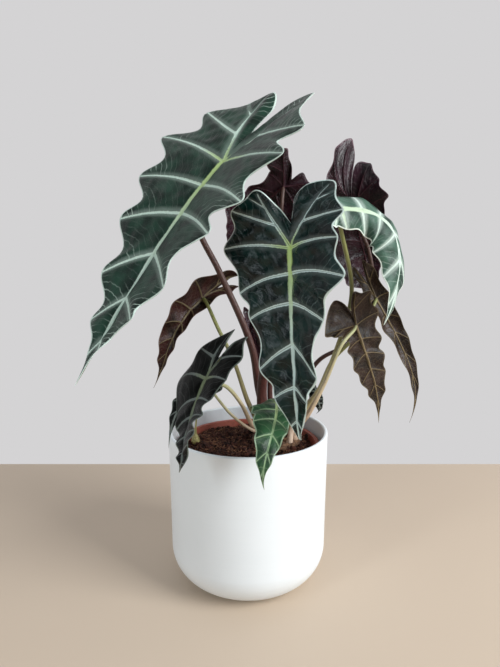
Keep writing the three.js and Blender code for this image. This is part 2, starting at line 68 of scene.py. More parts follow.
def times(tree, first, second):
    """Product of two numbers."""
    return maths(tree, "MULTIPLY", first, second)


def plus(tree, first, second):
    """Sum of two numbers."""
    return maths(tree, "ADD", first, second)


def eased(tree, value, low, high, start=0.0, end=1.0):
    """Smooth step of value from low to high, giving start to end."""
    inputs = {"Value": value, "From Min": low, "From Max": high, "To Min": start, "To Max": end}
    return put(tree, "ShaderNodeMapRange", inputs, interpolation_type="SMOOTHSTEP").outputs[0]


def blended(tree, factor, first, second):
    """Colour between first and second."""
    node = put(tree, "ShaderNodeMix", {0: factor, 6: first, 7: second}, data_type="RGBA")
    return node.outputs[2]


def grain(tree, where, scale, detail=2.0, rough=0.5):
    """Fractal noise from 0 to 1 at the given frequency."""
    inputs = {"Vector": where, "Scale": scale, "Detail": detail, "Roughness": rough}
    return put(tree, "ShaderNodeTexNoise", inputs).outputs["Fac"]


def stretched(tree, where, factors):
    """Coordinates times a factor on each axis."""
    return put(tree, "ShaderNodeVectorMath", {0: where, 1: factors}, operation="MULTIPLY").outputs[0]


def stored(tree, name, output="Fac"):
    """Value that the mesh carries at each point under this name."""
    return put(tree, "ShaderNodeAttribute", attribute_name=name).outputs[output]


def new_material(name):
    """Empty procedural material: its node tree, its shader and the piece's own coordinates."""
    material = bpy.data.materials.new(name)
    material.use_nodes = True
    tree = material.node_tree
    shader = tree.nodes["Principled BSDF"]
    place = put(tree, "ShaderNodeTexCoord").outputs["Object"]
    return material, tree, shader, place


def dress(tree, shader, colour, roughness, height, depth, strength=1.0):
    """Feeds colour, roughness and a bump of the given depth in metres to the shader."""
    tree.links.new(colour, shader.inputs["Base Color"])
    if isinstance(roughness, bpy.types.NodeSocket):
        tree.links.new(roughness, shader.inputs["Roughness"])
    else:
        shader.inputs["Roughness"].default_value = roughness
    inputs = {"Height": height, "Distance": depth, "Strength": strength}
    bump = put(tree, "ShaderNodeBump", inputs)
    tree.links.new(bump.outputs["Normal"], shader.inputs["Normal"])


millimetre = 0.001


def mesh_piece(name, points, triangles, materials, values=None, skins=None):
    """Smooth mesh object from points in millimetres, triangles, point values and skin numbers."""
    mesh = bpy.data.meshes.new(name)
    mesh.vertices.add(len(points))
    mesh.vertices.foreach_set("co", (np.asarray(points) * millimetre).astype(np.float32).ravel())
    mesh.loops.add(3 * len(triangles))
    mesh.loops.foreach_set("vertex_index", np.asarray(triangles, dtype=np.int32).ravel())
    mesh.polygons.add(len(triangles))
    mesh.polygons.foreach_set("loop_start", np.arange(0, 3 * len(triangles), 3, dtype=np.int32))
    for material in materials:
        mesh.materials.append(material)
    if skins is not None:
        mesh.polygons.foreach_set("material_index", np.asarray(skins, dtype=np.int32))
    for key, value in (values or {}).items():
        flat = np.asarray(value, dtype=np.float32)
        kind = "FLOAT" if flat.ndim == 1 else "FLOAT_VECTOR"
        field = "value" if flat.ndim == 1 else "vector"
        mesh.attributes.new(key, kind, "POINT").data.foreach_set(field, flat.ravel())
    mesh.update(calc_edges=True)
    mesh.validate()
    mesh.shade_smooth()
    piece = bpy.data.objects.new(name, mesh)
    bpy.context.scene.collection.objects.link(piece)
    return piece


def tube_faces(rows, sides):
    """Triangles of rings of points joined one to the next, with a pole point before and after."""
    ring = np.arange(sides)
    along = np.arange(rows - 1)[:, None]
    first = along * sides + ring
    beside = along * sides + (ring + 1) % sides
    body = np.stack([first, beside, beside + sides, first, beside + sides, first + sides], axis=-1)
    last = (rows - 1) * sides
    low, high = rows * sides, rows * sides + 1
    foot = np.stack([np.full(sides, low), (ring + 1) % sides, ring], axis=-1)
    top = np.stack([np.full(sides, high), last + ring, last + (ring + 1) % sides], axis=-1)
    return np.concatenate([body.reshape(-1, 3), foot, top])


def turned(profile, segments):
    """Solid of revolution: x = r cos a, y = r sin a for each profile point (r, z); poles on the axis."""
    profile = np.asarray(profile, dtype=float)
    inner = profile[1:-1]
    angle = np.linspace(0, 2 * np.pi, segments, endpoint=False)
    x = inner[:, :1] * np.cos(angle)
    y = inner[:, :1] * np.sin(angle)
    z = np.repeat(inner[:, 1:], segments, axis=1)
    rings = np.stack([x, y, z], axis=-1).reshape(-1, 3)
    poles = np.array([[0, 0, profile[0, 1]], [0, 0, profile[-1, 1]]])
    return np.concatenate([rings, poles]), tube_faces(len(inner), segments)


def arc(centre_r, centre_z, radius, start, end, steps):
    """Points r = centre + radius cos a, z = centre + radius sin a, angles in degrees."""
    a = np.radians(np.linspace(start, end, steps + 1))
    return np.stack([centre_r + radius * np.cos(a), centre_z + radius * np.sin(a)], axis=-1)


def run(start, end, steps):
    """Straight row of profile points from start to end, both left out."""
    share = np.linspace(0, 1, steps + 1)[1:-1, None]
    return np.asarray(start) * (1 - share) + np.asarray(end) * share


pot_radius, pot_height, pot_wall, pot_taper = 70.0, 134.0, 3.2, 1.2
pot_floor, foot_round, lip, pot_segments = 6.0, 31.0, 1.4, 256
foot_centre = pot_radius - pot_taper - foot_round
inside_round = foot_round - pot_wall
pot_profile = np.concatenate([
    [[0, 0]],
    run([0, 0], [foot_centre, 0], 8),
    arc(foot_centre, foot_round, foot_round, -90, 0, 36),
    run([pot_radius - pot_taper, foot_round], [pot_radius, pot_height - lip], 26),
    arc(pot_radius - lip, pot_height - lip, lip, 0, 90, 10),
    arc(pot_radius - pot_wall + lip, pot_height - lip, lip, 90, 180, 10),
    run([pot_radius - pot_wall, pot_height - lip],
        [foot_centre + inside_round, pot_floor + inside_round], 22),
    arc(foot_centre, pot_floor + inside_round, inside_round, 0, -90, 24),
    run([foot_centre, pot_floor], [0, pot_floor], 8),
    [[0, pot_floor]],
])
glaze, tree, shader, place = new_material("white_ceramic")
cloud = grain(tree, place, 22.0, 3.0)
speck = eased(tree, grain(tree, place, 900.0, 1.0), 0.74, 0.8)
white = blended(tree, cloud, tone(230, 237, 241), tone(240, 246, 250))
white = blended(tree, times(tree, speck, 0.18), white, tone(190, 186, 178))
throwing = grain(tree, stretched(tree, place, (6.0, 6.0, 160.0)), 1.0, 2.0)
ripple = plus(tree, throwing, times(tree, grain(tree, place, 1500.0), 0.06))
dress(tree, shader, white, eased(tree, cloud, 0.3, 0.7, 0.36, 0.46), ripple, 0.00012)
shader.inputs["Coat Weight"].default_value = 0.12
shader.inputs["Coat Roughness"].default_value = 0.3
points, triangles = turned(pot_profile, pot_segments)
cover_pot = mesh_piece("pot", points, triangles, [glaze])
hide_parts("cover_pot")
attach(cover_pot, "root")

# ---------- nursery pot ----------
# Thin terracotta-coloured plastic grower's pot with a rolled rim, dropped loose into the cover pot.
# Injection moulded, with drain holes in its base and fine ribs down the wall.
liner_foot, liner_floor, liner_wall = 6.3, 1.5, 1.2
liner_base, liner_mouth, liner_rim = 38.0, 60.6, 63.0
liner_top, rim_drop, rim_round, liner_segments = 122.5, 4.0, 0.55, 224
liner_profile = np.concatenate([
    [[0, liner_foot]],
    run([0, liner_foot], [liner_base - 1, liner_foot], 20),
    arc(liner_base - 1, liner_foot + 1, 1, -90, -12, 5),
    run([liner_base, liner_foot + 1], [liner_mouth, liner_top - rim_drop], 40),
    [[liner_mouth, liner_top - rim_drop]],
    arc(liner_rim - rim_round, liner_top - rim_drop + rim_round, rim_round, -90, 0, 5),
    arc(liner_rim - rim_round, liner_top - rim_round, rim_round, 0, 90, 6),
    arc(liner_mouth - liner_wall + rim_round, liner_top - rim_round, rim_round, 90, 180, 6),
    run([liner_mouth - liner_wall, liner_top - rim_round],
        [liner_base - liner_wall, liner_foot + liner_floor], 40),
    run([liner_base - liner_wall, liner_foot + liner_floor], [0, liner_foot + liner_floor], 20),
    [[0, liner_foot + liner_floor]],
])
plastic, tree, shader, place = new_material("terracotta_plastic")
mottle = grain(tree, place, 60.0, 4.0)
body = blended(tree, mottle, tone(150, 74, 58), tone(172, 92, 74))
dust = eased(tree, grain(tree, place, 240.0, 4.0, 0.65), 0.52, 0.7)
body = blended(tree, times(tree, dust, 0.45), body, tone(92, 58, 44))
pimple = grain(tree, place, 1400.0, 2.0)
dress(tree, shader, body, eased(tree, mottle, 0.3, 0.7, 0.42, 0.55), pimple, 0.00015)
points, triangles = turned(liner_profile, liner_segments)
angle = np.arctan2(points[:, 1], points[:, 0])
reach = np.hypot(points[:, 0], points[:, 1])
on_wall = (reach > liner_base + 1) & (points[:, 2] < liner_top - rim_drop - 1)
rib_height, rib_count = 0.16, 28
rib = rib_height * np.maximum(0, np.cos(angle * rib_count)) ** 6 * on_wall
points[:, :2] *= (1 + rib / np.maximum(reach, 1))[:, None]
nursery_pot = mesh_piece("grower_pot", points, triangles, [plastic])
hole_ring, hole_radius, hole_count, hole_segments, first_hole = 26.0, 5.0, 8, 40, 0.011
plug_foot, plug_top = 2, 12
plug_profile = [[0, plug_foot], [hole_radius, plug_foot], [hole_radius, plug_top], [0, plug_top]]
plug, plug_faces = turned(plug_profile, hole_segments)
turn = 2 * np.pi * np.arange(hole_count) / hole_count + first_hole
ring = np.stack([hole_ring * np.cos(turn), hole_ring * np.sin(turn), 0 * turn], axis=-1)
plugs = (ring[:, None, :] + plug[None]).reshape(-1, 3)
plug_all = (plug_faces[None] + (np.arange(hole_count) * len(plug))[:, None, None]).reshape(-1, 3)
cutter = mesh_piece("drain_plugs", plugs, plug_all, [plastic])
cut = nursery_pot.modifiers.new("drain_holes", "BOOLEAN")
cut.object = cutter
cut.operation = "DIFFERENCE"
cut.solver = "EXACT"
depsgraph = bpy.context.evaluated_depsgraph_get()
holed = bpy.data.meshes.new_from_object(nursery_pot.evaluated_get(depsgraph))
nursery_pot.modifiers.clear()
nursery_pot.data = holed
bpy.data.objects.remove(cutter)
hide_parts("nursery_pot")
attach(nursery_pot, "root")

# ---------- potting mix ----------
# Coarse coir and bark mix filling the nursery pot: a turned body with loose crumbs and fibres on top.
# The surface is heaped a little toward the crown of the plant.
rng = np.random.default_rng(11)
mix_foot, mix_top, mix_edge_drop, mix_flat = 8.1, 118.5, 3.0, 50.0
mix_base, mix_edge, mix_segments, mix_side_rows = 36.5, 57.6, 300, 20
heap_x, heap_y, heap_height, heap_spread = 22, 2, 1.6, 900.0


def lumps(x, y, waves):
    """Uneven ground: sum of sine waves, amplitude a times sin(kx x + ky y + phase)."""
    across = x[..., None] * waves[:, 0] + y[..., None] * waves[:, 1] + waves[:, 2]
    return (np.sin(across) * waves[:, 3]).sum(axis=-1)


wave_count = 70
pitch = rng.uniform(2.4, 22.0, wave_count)
heading = rng.uniform(0, 2 * np.pi, wave_count)
soil_waves = np.stack([
    2 * np.pi / pitch * np.cos(heading),
    2 * np.pi / pitch * np.sin(heading),
    rng.uniform(0, 2 * np.pi, wave_count),
    0.028 * pitch ** 0.75,
], axis=-1)


def ground(x, y):
    """Height of the mix: flat middle, falling to the edge, heaped by the crown, plus lumps."""
    far = np.clip((np.hypot(x, y) - mix_flat) / (mix_edge - mix_flat), 0, 1)
    heap = heap_height * np.exp(-((x - heap_x) ** 2 + (y - heap_y) ** 2) / heap_spread)
    return mix_top - mix_edge_drop * far + heap + lumps(x, y, soil_waves) * 1.15


mix_profile = np.concatenate([
    [[0, mix_foot]],
    run([0, mix_foot], [mix_base, mix_foot], 6),
    [[mix_base, mix_foot]],
    run([mix_base, mix_foot], [mix_edge, mix_top - mix_edge_drop - 1], 14),
    run([mix_edge, mix_top - mix_edge_drop - 1], [0.4, mix_top], 130),
    [[0, mix_top]],
])
points, triangles = turned(mix_profile, mix_segments)
on_top = np.arange(len(points)) >= mix_segments * mix_side_rows
on_top[-2] = False
points[on_top, 2] = ground(points[on_top, 0], points[on_top, 1])
peat, tree, shader, place = new_material("peat_mix")
clod = grain(tree, place, 260.0, 5.0, 0.65)
crumb = put(tree, "ShaderNodeTexVoronoi", {"Vector": place, "Scale": 520.0}).outputs["Distance"]
earth = blended(tree, eased(tree, clod, 0.35, 0.66), tone(27, 14, 12), tone(82, 48, 38))
strand = grain(tree, stretched(tree, place, (300.0, 900.0, 900.0)), 1.0, 3.0)
earth = blended(tree, eased(tree, strand, 0.62, 0.72, 0.0, 0.55), earth, tone(112, 74, 54))
rugged = plus(tree, clod, times(tree, crumb, 0.6))
dress(tree, shader, earth, 0.93, rugged, 0.0011)
shader.inputs["Specular IOR Level"].default_value = 0.25
soil_body = mesh_piece("soil", points, triangles, [peat])
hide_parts("potting_mix")
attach(soil_body, "root")


def ball(rows, sides):
    """Unit ball as rings of latitude with two poles, and its triangles."""
    lat = np.linspace(-np.pi / 2, np.pi / 2, rows + 2)[1:-1, None]
    lon = np.linspace(0, 2 * np.pi, sides, endpoint=False)
    rings = np.stack([np.cos(lat) * np.cos(lon), np.cos(lat) * np.sin(lon),
                      np.sin(lat) + 0 * lon], axis=-1).reshape(-1, 3)
    return np.concatenate([rings, [[0, 0, -1], [0, 0, 1]]]), tube_faces(rows, sides)


def scattered(count, reach_limit):
    """Random spots spread evenly over a disc: radius is the limit times the root of a random share."""
    away = reach_limit * np.sqrt(rng.uniform(0, 1, count))
    around = rng.uniform(0, 2 * np.pi, count)
    return away * np.cos(around), away * np.sin(around)


crumb_count, crumb_reach, crumb_rise = 1500, 56.5, 0.25
ball_points, ball_faces = ball(5, 8)
x, y = scattered(crumb_count, crumb_reach)
size = rng.gamma(3.0, 0.28, crumb_count).clip(0.35, 2.6)
stretch = rng.uniform(0.6, 1.5, (crumb_count, 1, 3)) * size[:, None, None]
knobs = 1 + 0.22 * rng.normal(size=(crumb_count, len(ball_points), 1))
crumbs = ball_points[None] * knobs * stretch
crumbs += np.stack([x, y, ground(x, y) + crumb_rise * size], axis=-1)[:, None, :]
crumb_faces = ball_faces[None] + (np.arange(crumb_count) * len(ball_points))[:, None, None]
soil_crumbs = mesh_piece("soil_crumbs", crumbs.reshape(-1, 3), crumb_faces.reshape(-1, 3), [peat])
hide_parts("potting_mix")
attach(soil_crumbs, "root")

coir, tree, shader, place = new_material("coir_fibre")
streak = grain(tree, place, 400.0, 3.0)
husk = blended(tree, eased(tree, streak, 0.35, 0.65), tone(70, 42, 30), tone(150, 104, 74))
dress(tree, shader, husk, 0.85, grain(tree, place, 2500.0), 0.0002)
fibre_count, fibre_rows, fibre_sides, fibre_reach, fibre_limit = 620, 9, 5, 54.0, 57.0
x, y = scattered(fibre_count, fibre_reach)
length = rng.uniform(4, 17, fibre_count)
heading = rng.uniform(0, 2 * np.pi, fibre_count)
bow = rng.normal(0, 0.35, fibre_count)
share = np.linspace(-0.5, 0.5, fibre_rows)
bearing = heading[:, None] + bow[:, None] * share * 4
step = (length / (fibre_rows - 1))[:, None]
half = 0.5 * length[:, None]
fx = x[:, None] + np.cumsum(np.cos(bearing) * step, axis=1) - half * np.cos(heading)[:, None]
fy = y[:, None] + np.cumsum(np.sin(bearing) * step, axis=1) - half * np.sin(heading)[:, None]
off = np.maximum(1, np.hypot(fx, fy) / fibre_limit)
fx, fy = fx / off, fy / off
clear = rng.uniform(0.1, 1.4, fibre_count)[:, None]
spring = rng.uniform(-0.4, 1, fibre_count)[:, None]
lift = clear * (1 + 2.0 * np.abs(share) * spring)
fz = ground(fx, fy) * 0.4 + (mix_top + 0.2) * 0.6 + lift
thin = rng.uniform(0.12, 0.34, fibre_count)[:, None] * (1 - 0.7 * (2 * np.abs(share)) ** 3)
around = np.linspace(0, 2 * np.pi, fibre_sides, endpoint=False)
side = np.stack([-np.sin(bearing), np.cos(bearing), 0 * bearing], axis=-1)
spot = np.stack([fx, fy, fz], axis=-1)
up = np.array([0.0, 0.0, 1.0])
rings = spot[:, :, None, :] + thin[:, :, None, None] * (
    np.cos(around)[None, None, :, None] * side[:, :, None, :]
    + np.sin(around)[None, None, :, None] * up)
fibres = np.concatenate([rings.reshape(fibre_count, -1, 3), spot[:, :1], spot[:, -1:]], axis=1)
fibre_faces = tube_faces(fibre_rows, fibre_sides)[None]
fibre_faces = fibre_faces + (np.arange(fibre_count) * fibres.shape[1])[:, None, None]
soil_fibres = mesh_piece("soil_fibres", fibres.reshape(-1, 3), fibre_faces.reshape(-1, 3), [coir])
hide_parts("potting_mix")
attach(soil_fibres, "root")

# ---------- corm ----------
# Low brown storage stem at the crown, half buried; all the petioles leave its top.
# Its skin is ringed with old leaf scars and torn papery shreds.
corm_x, corm_y, corm_radius, corm_foot, corm_top = 25.0, 4.0, 22.0, 118.8, 125.5
foot_curve, shoulder, crown_rise, crown_segments = 2.2, 4.6, 0.4, 200
crown_profile = np.concatenate([
    [[0, corm_foot]],
    run([0, corm_foot], [corm_radius - 1.5, corm_foot], 8),
    arc(corm_radius - foot_curve, corm_foot + foot_curve, foot_curve, -90, 0, 8),
    arc(corm_radius - shoulder, corm_top - shoulder, shoulder, 0, 82, 18),
    run([corm_radius - shoulder, corm_top], [0.4, corm_top + crown_rise], 34),
    [[0, corm_top + crown_rise]],
])
points, triangles = turned(crown_profile, crown_segments)
reach = np.hypot(points[:, 0], points[:, 1])
angle = np.arctan2(points[:, 1], points[:, 0])
scar = (0.35 * np.sin(reach * 1.9 + 1.2 * np.sin(angle * 3))
        + 0.25 * np.sin(points[:, 2] * 4.1 + angle * 2))
shred = 0.22 * np.sin(angle * 41 + 3 * np.sin(angle * 7)) * (reach > 6)
points[:, 2] += (scar + shred) * (points[:, 2] > corm_foot + 1.5)
points[:, :2] *= (1 + 0.02 * np.sin(angle * 5 + 1) + 0.012 * np.sin(angle * 13))[:, None]
points[:, :2] += [corm_x, corm_y]
bark, tree, shader, place = new_material("corm_skin")
patch = grain(tree, place, 180.0, 5.0, 0.6)
skin = blended(tree, eased(tree, patch, 0.35, 0.65), tone(58, 36, 27), tone(128, 96, 70))
ringed = grain(tree, stretched(tree, place, (260.0, 260.0, 1500.0)), 1.0, 3.0)
skin = blended(tree, eased(tree, ringed, 0.55, 0.7, 0.0, 0.6), skin, tone(40, 26, 20))
dress(tree, shader, skin, 0.82, plus(tree, patch, ringed), 0.0008)
corm = mesh_piece("crown", points, triangles, [bark])
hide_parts("corm")
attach(corm, "root")

# ---------- leaf surfaces ----------
# Blade tissue is dark and waxy, quilted between sunken pale veins on the upper side; the underside is
# purple-brown with raised tan veins. A thin pale line runs round the margin.


def upper_side(name, deep, fresh, vein, heart, edge,
               rung=0.35, core=0.0, gloss=0.34, halo=0.3, shine=0.28):
    """Upper skin: tissue tones, vein bands, cross rungs, pale edge and the bright junction."""
    material, tree, shader, place = new_material(name)
    flat = stored(tree, "flat", "Vector")
    lateral, midrib, margin = stored(tree, "lateral"), stored(tree, "midrib"), stored(tree, "margin")
    heartward = stored(tree, "heartward")
    cloud = grain(tree, flat, 0.05, 3.0)
    cell = grain(tree, flat, 0.9, 3.0, 0.6)
    feather = times(tree, maths(tree, "SUBTRACT", grain(tree, flat, 0.55, 2.0), 0.5), 1.1)
    tissue = blended(tree, eased(tree, cloud, 0.35, 0.65), deep, fresh)
    tissue = blended(tree, times(tree, eased(tree, cell, 0.4, 0.7), 0.25), tissue, fresh)
    near = eased(tree, plus(tree, lateral, feather), 6.0, 1.2, 0.0, halo)
    tissue = blended(tree, near, tissue, vein)
    rounds = plus(tree, stored(tree, "rung"), times(tree, grain(tree, flat, 0.12), 5.0))
    beat = maths(tree, "ABSOLUTE", maths(tree, "SINE", times(tree, rounds, 0.6)))
    line = eased(tree, beat, 0.34, 0.06)
    patchy = eased(tree, grain(tree, flat, 0.06, 2.0), 0.36, 0.6)
    outer = eased(tree, rounds, 44.0, 14.0, 0.06, 1.0)
    faint = times(tree, times(tree, line, patchy), times(tree, outer, rung))
    tissue = blended(tree, faint, tissue, vein)
    ragged = plus(tree, lateral, feather)
    band = eased(tree, ragged, 1.45, 0.85)
    middle = times(tree, eased(tree, lateral, 0.42, 0.12), core)
    band = maths(tree, "SUBTRACT", band, times(tree, band, middle))
    rib = eased(tree, plus(tree, midrib, times(tree, feather, 0.4)), 1.35, 0.8)
    close = blended(tree, eased(tree, heartward, 26.0, 4.0, 0.0, 0.8), vein, heart)
    colour = blended(tree, band, tissue, close)
    along = blended(tree, eased(tree, heartward, 80.0, 4.0, 0.0, 0.95), vein, heart)
    colour = blended(tree, rib, colour, along)
    rim = eased(tree, plus(tree, margin, times(tree, feather, 0.25)), 1.25, 0.6)
    colour = blended(tree, rim, colour, edge)
    groove = eased(tree, ragged, 0.0, 2.4)
    relief = plus(tree, times(tree, groove, 0.5), times(tree, cell, 0.35))
    relief = maths(tree, "SUBTRACT", relief, times(tree, line, 0.16))
    relief = plus(tree, relief, times(tree, grain(tree, flat, 4.0, 2.0), 0.08))
    wet = plus(tree, gloss, times(tree, band, 0.14))
    wet = plus(tree, wet, times(tree, cell, 0.1))
    dress(tree, shader, colour, wet, relief, 0.0007)
    shader.inputs["Specular IOR Level"].default_value = shine
    return material


def lower_side(name, deep, fresh, vein, edge, gloss=0.36, width=1.0):
    """Underside skin: mottled purple tissue, raised veins and a fine net of cross veins."""
    material, tree, shader, place = new_material(name)
    flat = stored(tree, "flat", "Vector")
    lateral, midrib, margin = stored(tree, "lateral"), stored(tree, "midrib"), stored(tree, "margin")
    cloud = grain(tree, flat, 0.06, 3.0)
    cell = grain(tree, flat, 0.8, 3.0, 0.6)
    tissue = blended(tree, eased(tree, cloud, 0.35, 0.65), deep, fresh)
    feather = times(tree, maths(tree, "SUBTRACT", cell, 0.5), 0.7)
    beat = maths(tree, "ABSOLUTE", maths(tree, "SINE", times(tree, stored(tree, "rung"), 0.8)))
    line = eased(tree, beat, 0.22, 0.02)
    tissue = blended(tree, times(tree, line, 0.22), tissue, vein)
    net = put(tree, "ShaderNodeTexVoronoi", {"Vector": flat, "Scale": 0.42}, feature="DISTANCE_TO_EDGE")
    mesh_line = eased(tree, net.outputs["Distance"], 0.07, 0.01)
    tissue = blended(tree, times(tree, mesh_line, 0.16), tissue, vein)
    ragged = maths(tree, "DIVIDE", plus(tree, lateral, feather), width)
    band = eased(tree, ragged, 1.2, 0.6)
    rib = eased(tree, maths(tree, "DIVIDE", midrib, width), 1.3, 0.7)
    veins = maths(tree, "MAXIMUM", times(tree, band, 0.8), rib)
    colour = blended(tree, veins, tissue, vein)
    rim = eased(tree, plus(tree, margin, times(tree, feather, 0.4)), 1.2, 0.5, 0.0, 0.8)
    colour = blended(tree, rim, colour, edge)
    relief = plus(tree, times(tree, cell, 0.5), times(tree, line, 0.25))
    relief = plus(tree, relief, times(tree, mesh_line, 0.2))
    relief = plus(tree, relief, times(tree, veins, 0.7))
    wet = plus(tree, gloss, times(tree, cell, 0.14))
    dress(tree, shader, colour, wet, relief, 0.0006)
    shader.inputs["Specular IOR Level"].default_value = 0.35
    return material


top_teal = upper_side("leaf_teal", tone(6, 27, 19), tone(30, 62, 48), tone(204, 226, 212),
                      tone(184, 208, 136), tone(210, 228, 218), rung=0.6, halo=0.22, gloss=0.26)
top_front = upper_side("leaf_front_teal", tone(1, 9, 10), tone(10, 42, 38), tone(210, 232, 228),
                       tone(186, 214, 128), tone(214, 232, 226), rung=0.08, core=0.6, gloss=0.12,
                       halo=0.1, shine=0.3)
# Painted sheen: a paler, greyer copy of the teal upper skin that stands in for the window light glancing
# off the arched leaf.
top_painted_sheen = upper_side("leaf_teal_painted_sheen", tone(20, 46, 36), tone(70, 104, 88), tone(206, 224, 214),
                      tone(192, 214, 182), tone(222, 234, 224), rung=0.25, halo=0.5, gloss=0.32)
# Painted shade: a darkened copy of the teal upper skin, with near-black tissue and grey veins, for the
# leaves low in the shade of the canopy.
top_painted_shade = upper_side("leaf_teal_painted_shade", tone(2, 3, 2), tone(8, 11, 9), tone(112, 120, 116),
                      tone(124, 134, 104), tone(98, 108, 100), rung=0.14, halo=0.04, gloss=0.3, shine=0.1)
top_young = upper_side("leaf_young", tone(10, 34, 20), tone(50, 88, 56), tone(132, 158, 120),
                       tone(138, 156, 104), tone(136, 158, 130), rung=0.3, halo=0.12, gloss=0.26)
under_wine = lower_side("leaf_wine", tone(14, 2, 8), tone(46, 14, 30), tone(76, 44, 52),
                        tone(104, 78, 88), gloss=0.16, width=0.7)
under_plum = lower_side("leaf_plum", tone(10, 3, 4), tone(32, 15, 16), tone(122, 114, 58),
                        tone(150, 132, 112), gloss=0.3)
under_brown = lower_side("leaf_brown", tone(16, 7, 6), tone(50, 33, 27), tone(126, 110, 80),
                         tone(100, 88, 66), width=0.9, gloss=0.32)
under_maroon = lower_side("leaf_maroon", tone(20, 7, 8), tone(60, 28, 28), tone(124, 112, 84),
                          tone(110, 88, 78), width=0.9, gloss=0.24)
under_young = lower_side("leaf_young_back", tone(70, 92, 66), tone(112, 130, 92), tone(176, 186, 140),
                         tone(176, 188, 150))

# ---------- petiole surfaces ----------
# Round, fleshy stalks, faintly ribbed, streaked and mottled along their length; the colour runs from
# the base to the blade.


def stalk_skin(name, base, top, fleck, amount):
    """Stalk skin: base to top colour, lengthwise streaks and flecks."""
    material, tree, shader, place = new_material(name)
    skin = stored(tree, "skin", "Vector")
    climb = stored(tree, "climb")
    long_streak = grain(tree, stretched(tree, skin, (1.4, 1.4, 0.05)), 1.0, 4.0, 0.6)
    fine = grain(tree, stretched(tree, skin, (5.0, 5.0, 0.25)), 1.0, 3.0)
    blotch = grain(tree, stretched(tree, skin, (0.7, 0.7, 0.3)), 1.0, 4.0, 0.65)
    colour = blended(tree, eased(tree, climb, 0.0, 1.0), base, top)
    flecks = times(tree, eased(tree, blotch, 0.5, 0.68), amount)
    colour = blended(tree, flecks, colour, fleck)
    colour = blended(tree, eased(tree, long_streak, 0.55, 0.75, 0.0, 0.5), colour, fleck)
    relief = plus(tree, times(tree, fine, 0.7), long_streak)
    dress(tree, shader, colour, eased(tree, fine, 0.3, 0.7, 0.34, 0.5), relief, 0.00025)
    return material


stalk_maroon = stalk_skin("petiole_maroon", tone(80, 42, 37), tone(82, 57, 48), tone(38, 18, 17), 0.75)
stalk_dark = stalk_skin("petiole_dark", tone(88, 46, 40), tone(46, 24, 24), tone(30, 12, 13), 0.7)
stalk_olive = stalk_skin("petiole_olive", tone(168, 152, 110), tone(140, 146, 88), tone(96, 92, 52), 0.4)
stalk_pink = stalk_skin("petiole_pink", tone(205, 176, 152), tone(174, 178, 132), tone(140, 112, 88), 0.4)

# ---------- leaf builder ----------
# Arrow-shaped leaf: a midrib, two rear lobes each with its own main vein, side veins to every point of
# the scalloped margin. The blade is one thin sheet; the petiole joins its underside where the veins meet.
# A station counts the margin points: 0 in the notch, 2 at the lobe tip, 3 at its branch, 10 at the tip.
vein_starts = np.array([-0.16, -0.07, 0, 0, 0, 0.14, 0.28, 0.45, 0.62, 0.78, 1])
lobe_tip, branch_end, leaf_tip, twig_end = 2, 3, len(vein_starts) - 1, 2.45
spine_stations = np.array([-0.4, 0, 0.33, 0.67, 1])
blade_thickness, branch_share, vein_bow, sinus_gap = 0.45, 0.38, 0.05, 0.003
tip_pinch, pinch_from, pinch_run, lobe_cut = 0.5, 0.7, 0.22, 0.35
lobe_vein, branch_vein, twig_vein, midrib_vein = (1.6, 0.45), (1.2, 0.55), (0.6, 0.35), (2.5, 0.6)
side_vein, side_vein_step, side_vein_end = 1.35, 0.09, 0.55
edge_run, quilt_run, panel_run, weld_grid = 3.0, 3.4, 5.0, 1e6
quilt_waves = np.stack([
    2 * np.pi / rng.uniform(9, 26, 24) * np.cos(rng.uniform(0, 2 * np.pi, 24)),
    2 * np.pi / rng.uniform(9, 26, 24) * np.sin(rng.uniform(0, 2 * np.pi, 24)),
    rng.uniform(0, 2 * np.pi, 24),
    rng.uniform(0.04, 0.11, 24),
], axis=-1)
common_margin = np.array([
    [-0.16, 0], [-0.28, 0.07], [-0.4, 0.17], [-0.25, 0.315], [0, 0.365], [0.2, 0.325],
    [0.37, 0.262], [0.55, 0.185], [0.73, 0.105], [0.87, 0.045], [1, 0]])


def margin_at(keys, station, scallop):
    """Margin point (u, w): Catmull-Rom through the vein ends, cut in between them by sin squared and
    pinched ahead of the tip by another sin squared, so the tip is drawn out. The half width never falls
    below a small gap, which runs out to nothing at both ends, so the lobes don't meet across the notch."""
    last = len(keys) - 1
    i = np.minimum(np.floor(station).astype(int), last - 1)
    f = (station - i)[:, None]
    p, q, r, s = (keys[np.clip(i + k, 0, last)] for k in (-1, 0, 1, 2))
    line = 0.5 * (2 * q + (r - p) * f + (2 * p - 5 * q + 4 * r - s) * f ** 2
                  + (3 * q - p - 3 * r + s) * f ** 3)
    cut = scallop * np.where(station > lobe_tip, np.clip(station - lobe_tip, lobe_cut, 1), 0)
    line[:, 1] *= 1 - cut * np.sin(np.pi * station) ** 2
    pinched = np.clip((line[:, 0] - pinch_from) / pinch_run, 0, 1)
    line[:, 1] *= 1 - tip_pinch * np.sin(0.5 * np.pi * pinched) ** 2
    least = sinus_gap * np.clip(station, 0, 1) * np.clip(last - station, 0, 1)
    line[:, 1] = np.maximum(line[:, 1], least)
    return line


def crowded(count, pull=0.7):
    """Shares 0 to 1, packed toward both ends: t - pull sin(2 pi t) / 2 pi."""
    t = np.linspace(0, 1, count + 1)
    return t - pull * np.sin(2 * np.pi * t) / (2 * np.pi)


def spine_at(spine, u):
    """Point and unit direction on the quartic through the five spine points (Lagrange weights)."""
    point, along = 0, 0
    for i, ui in enumerate(spine_stations):
        others = np.delete(spine_stations, i)
        weight = np.prod([(u - uj) / (ui - uj) for uj in others], axis=0)
        slope = sum(np.prod([(u - uk) for uk in others if uk != uj], axis=0) for uj in others)
        slope = slope / np.prod(ui - others)
        point = point + weight[:, None] * spine[i]
        along = along + slope[:, None] * spine[i]
    return point, along / np.linalg.norm(along, axis=1, keepdims=True)


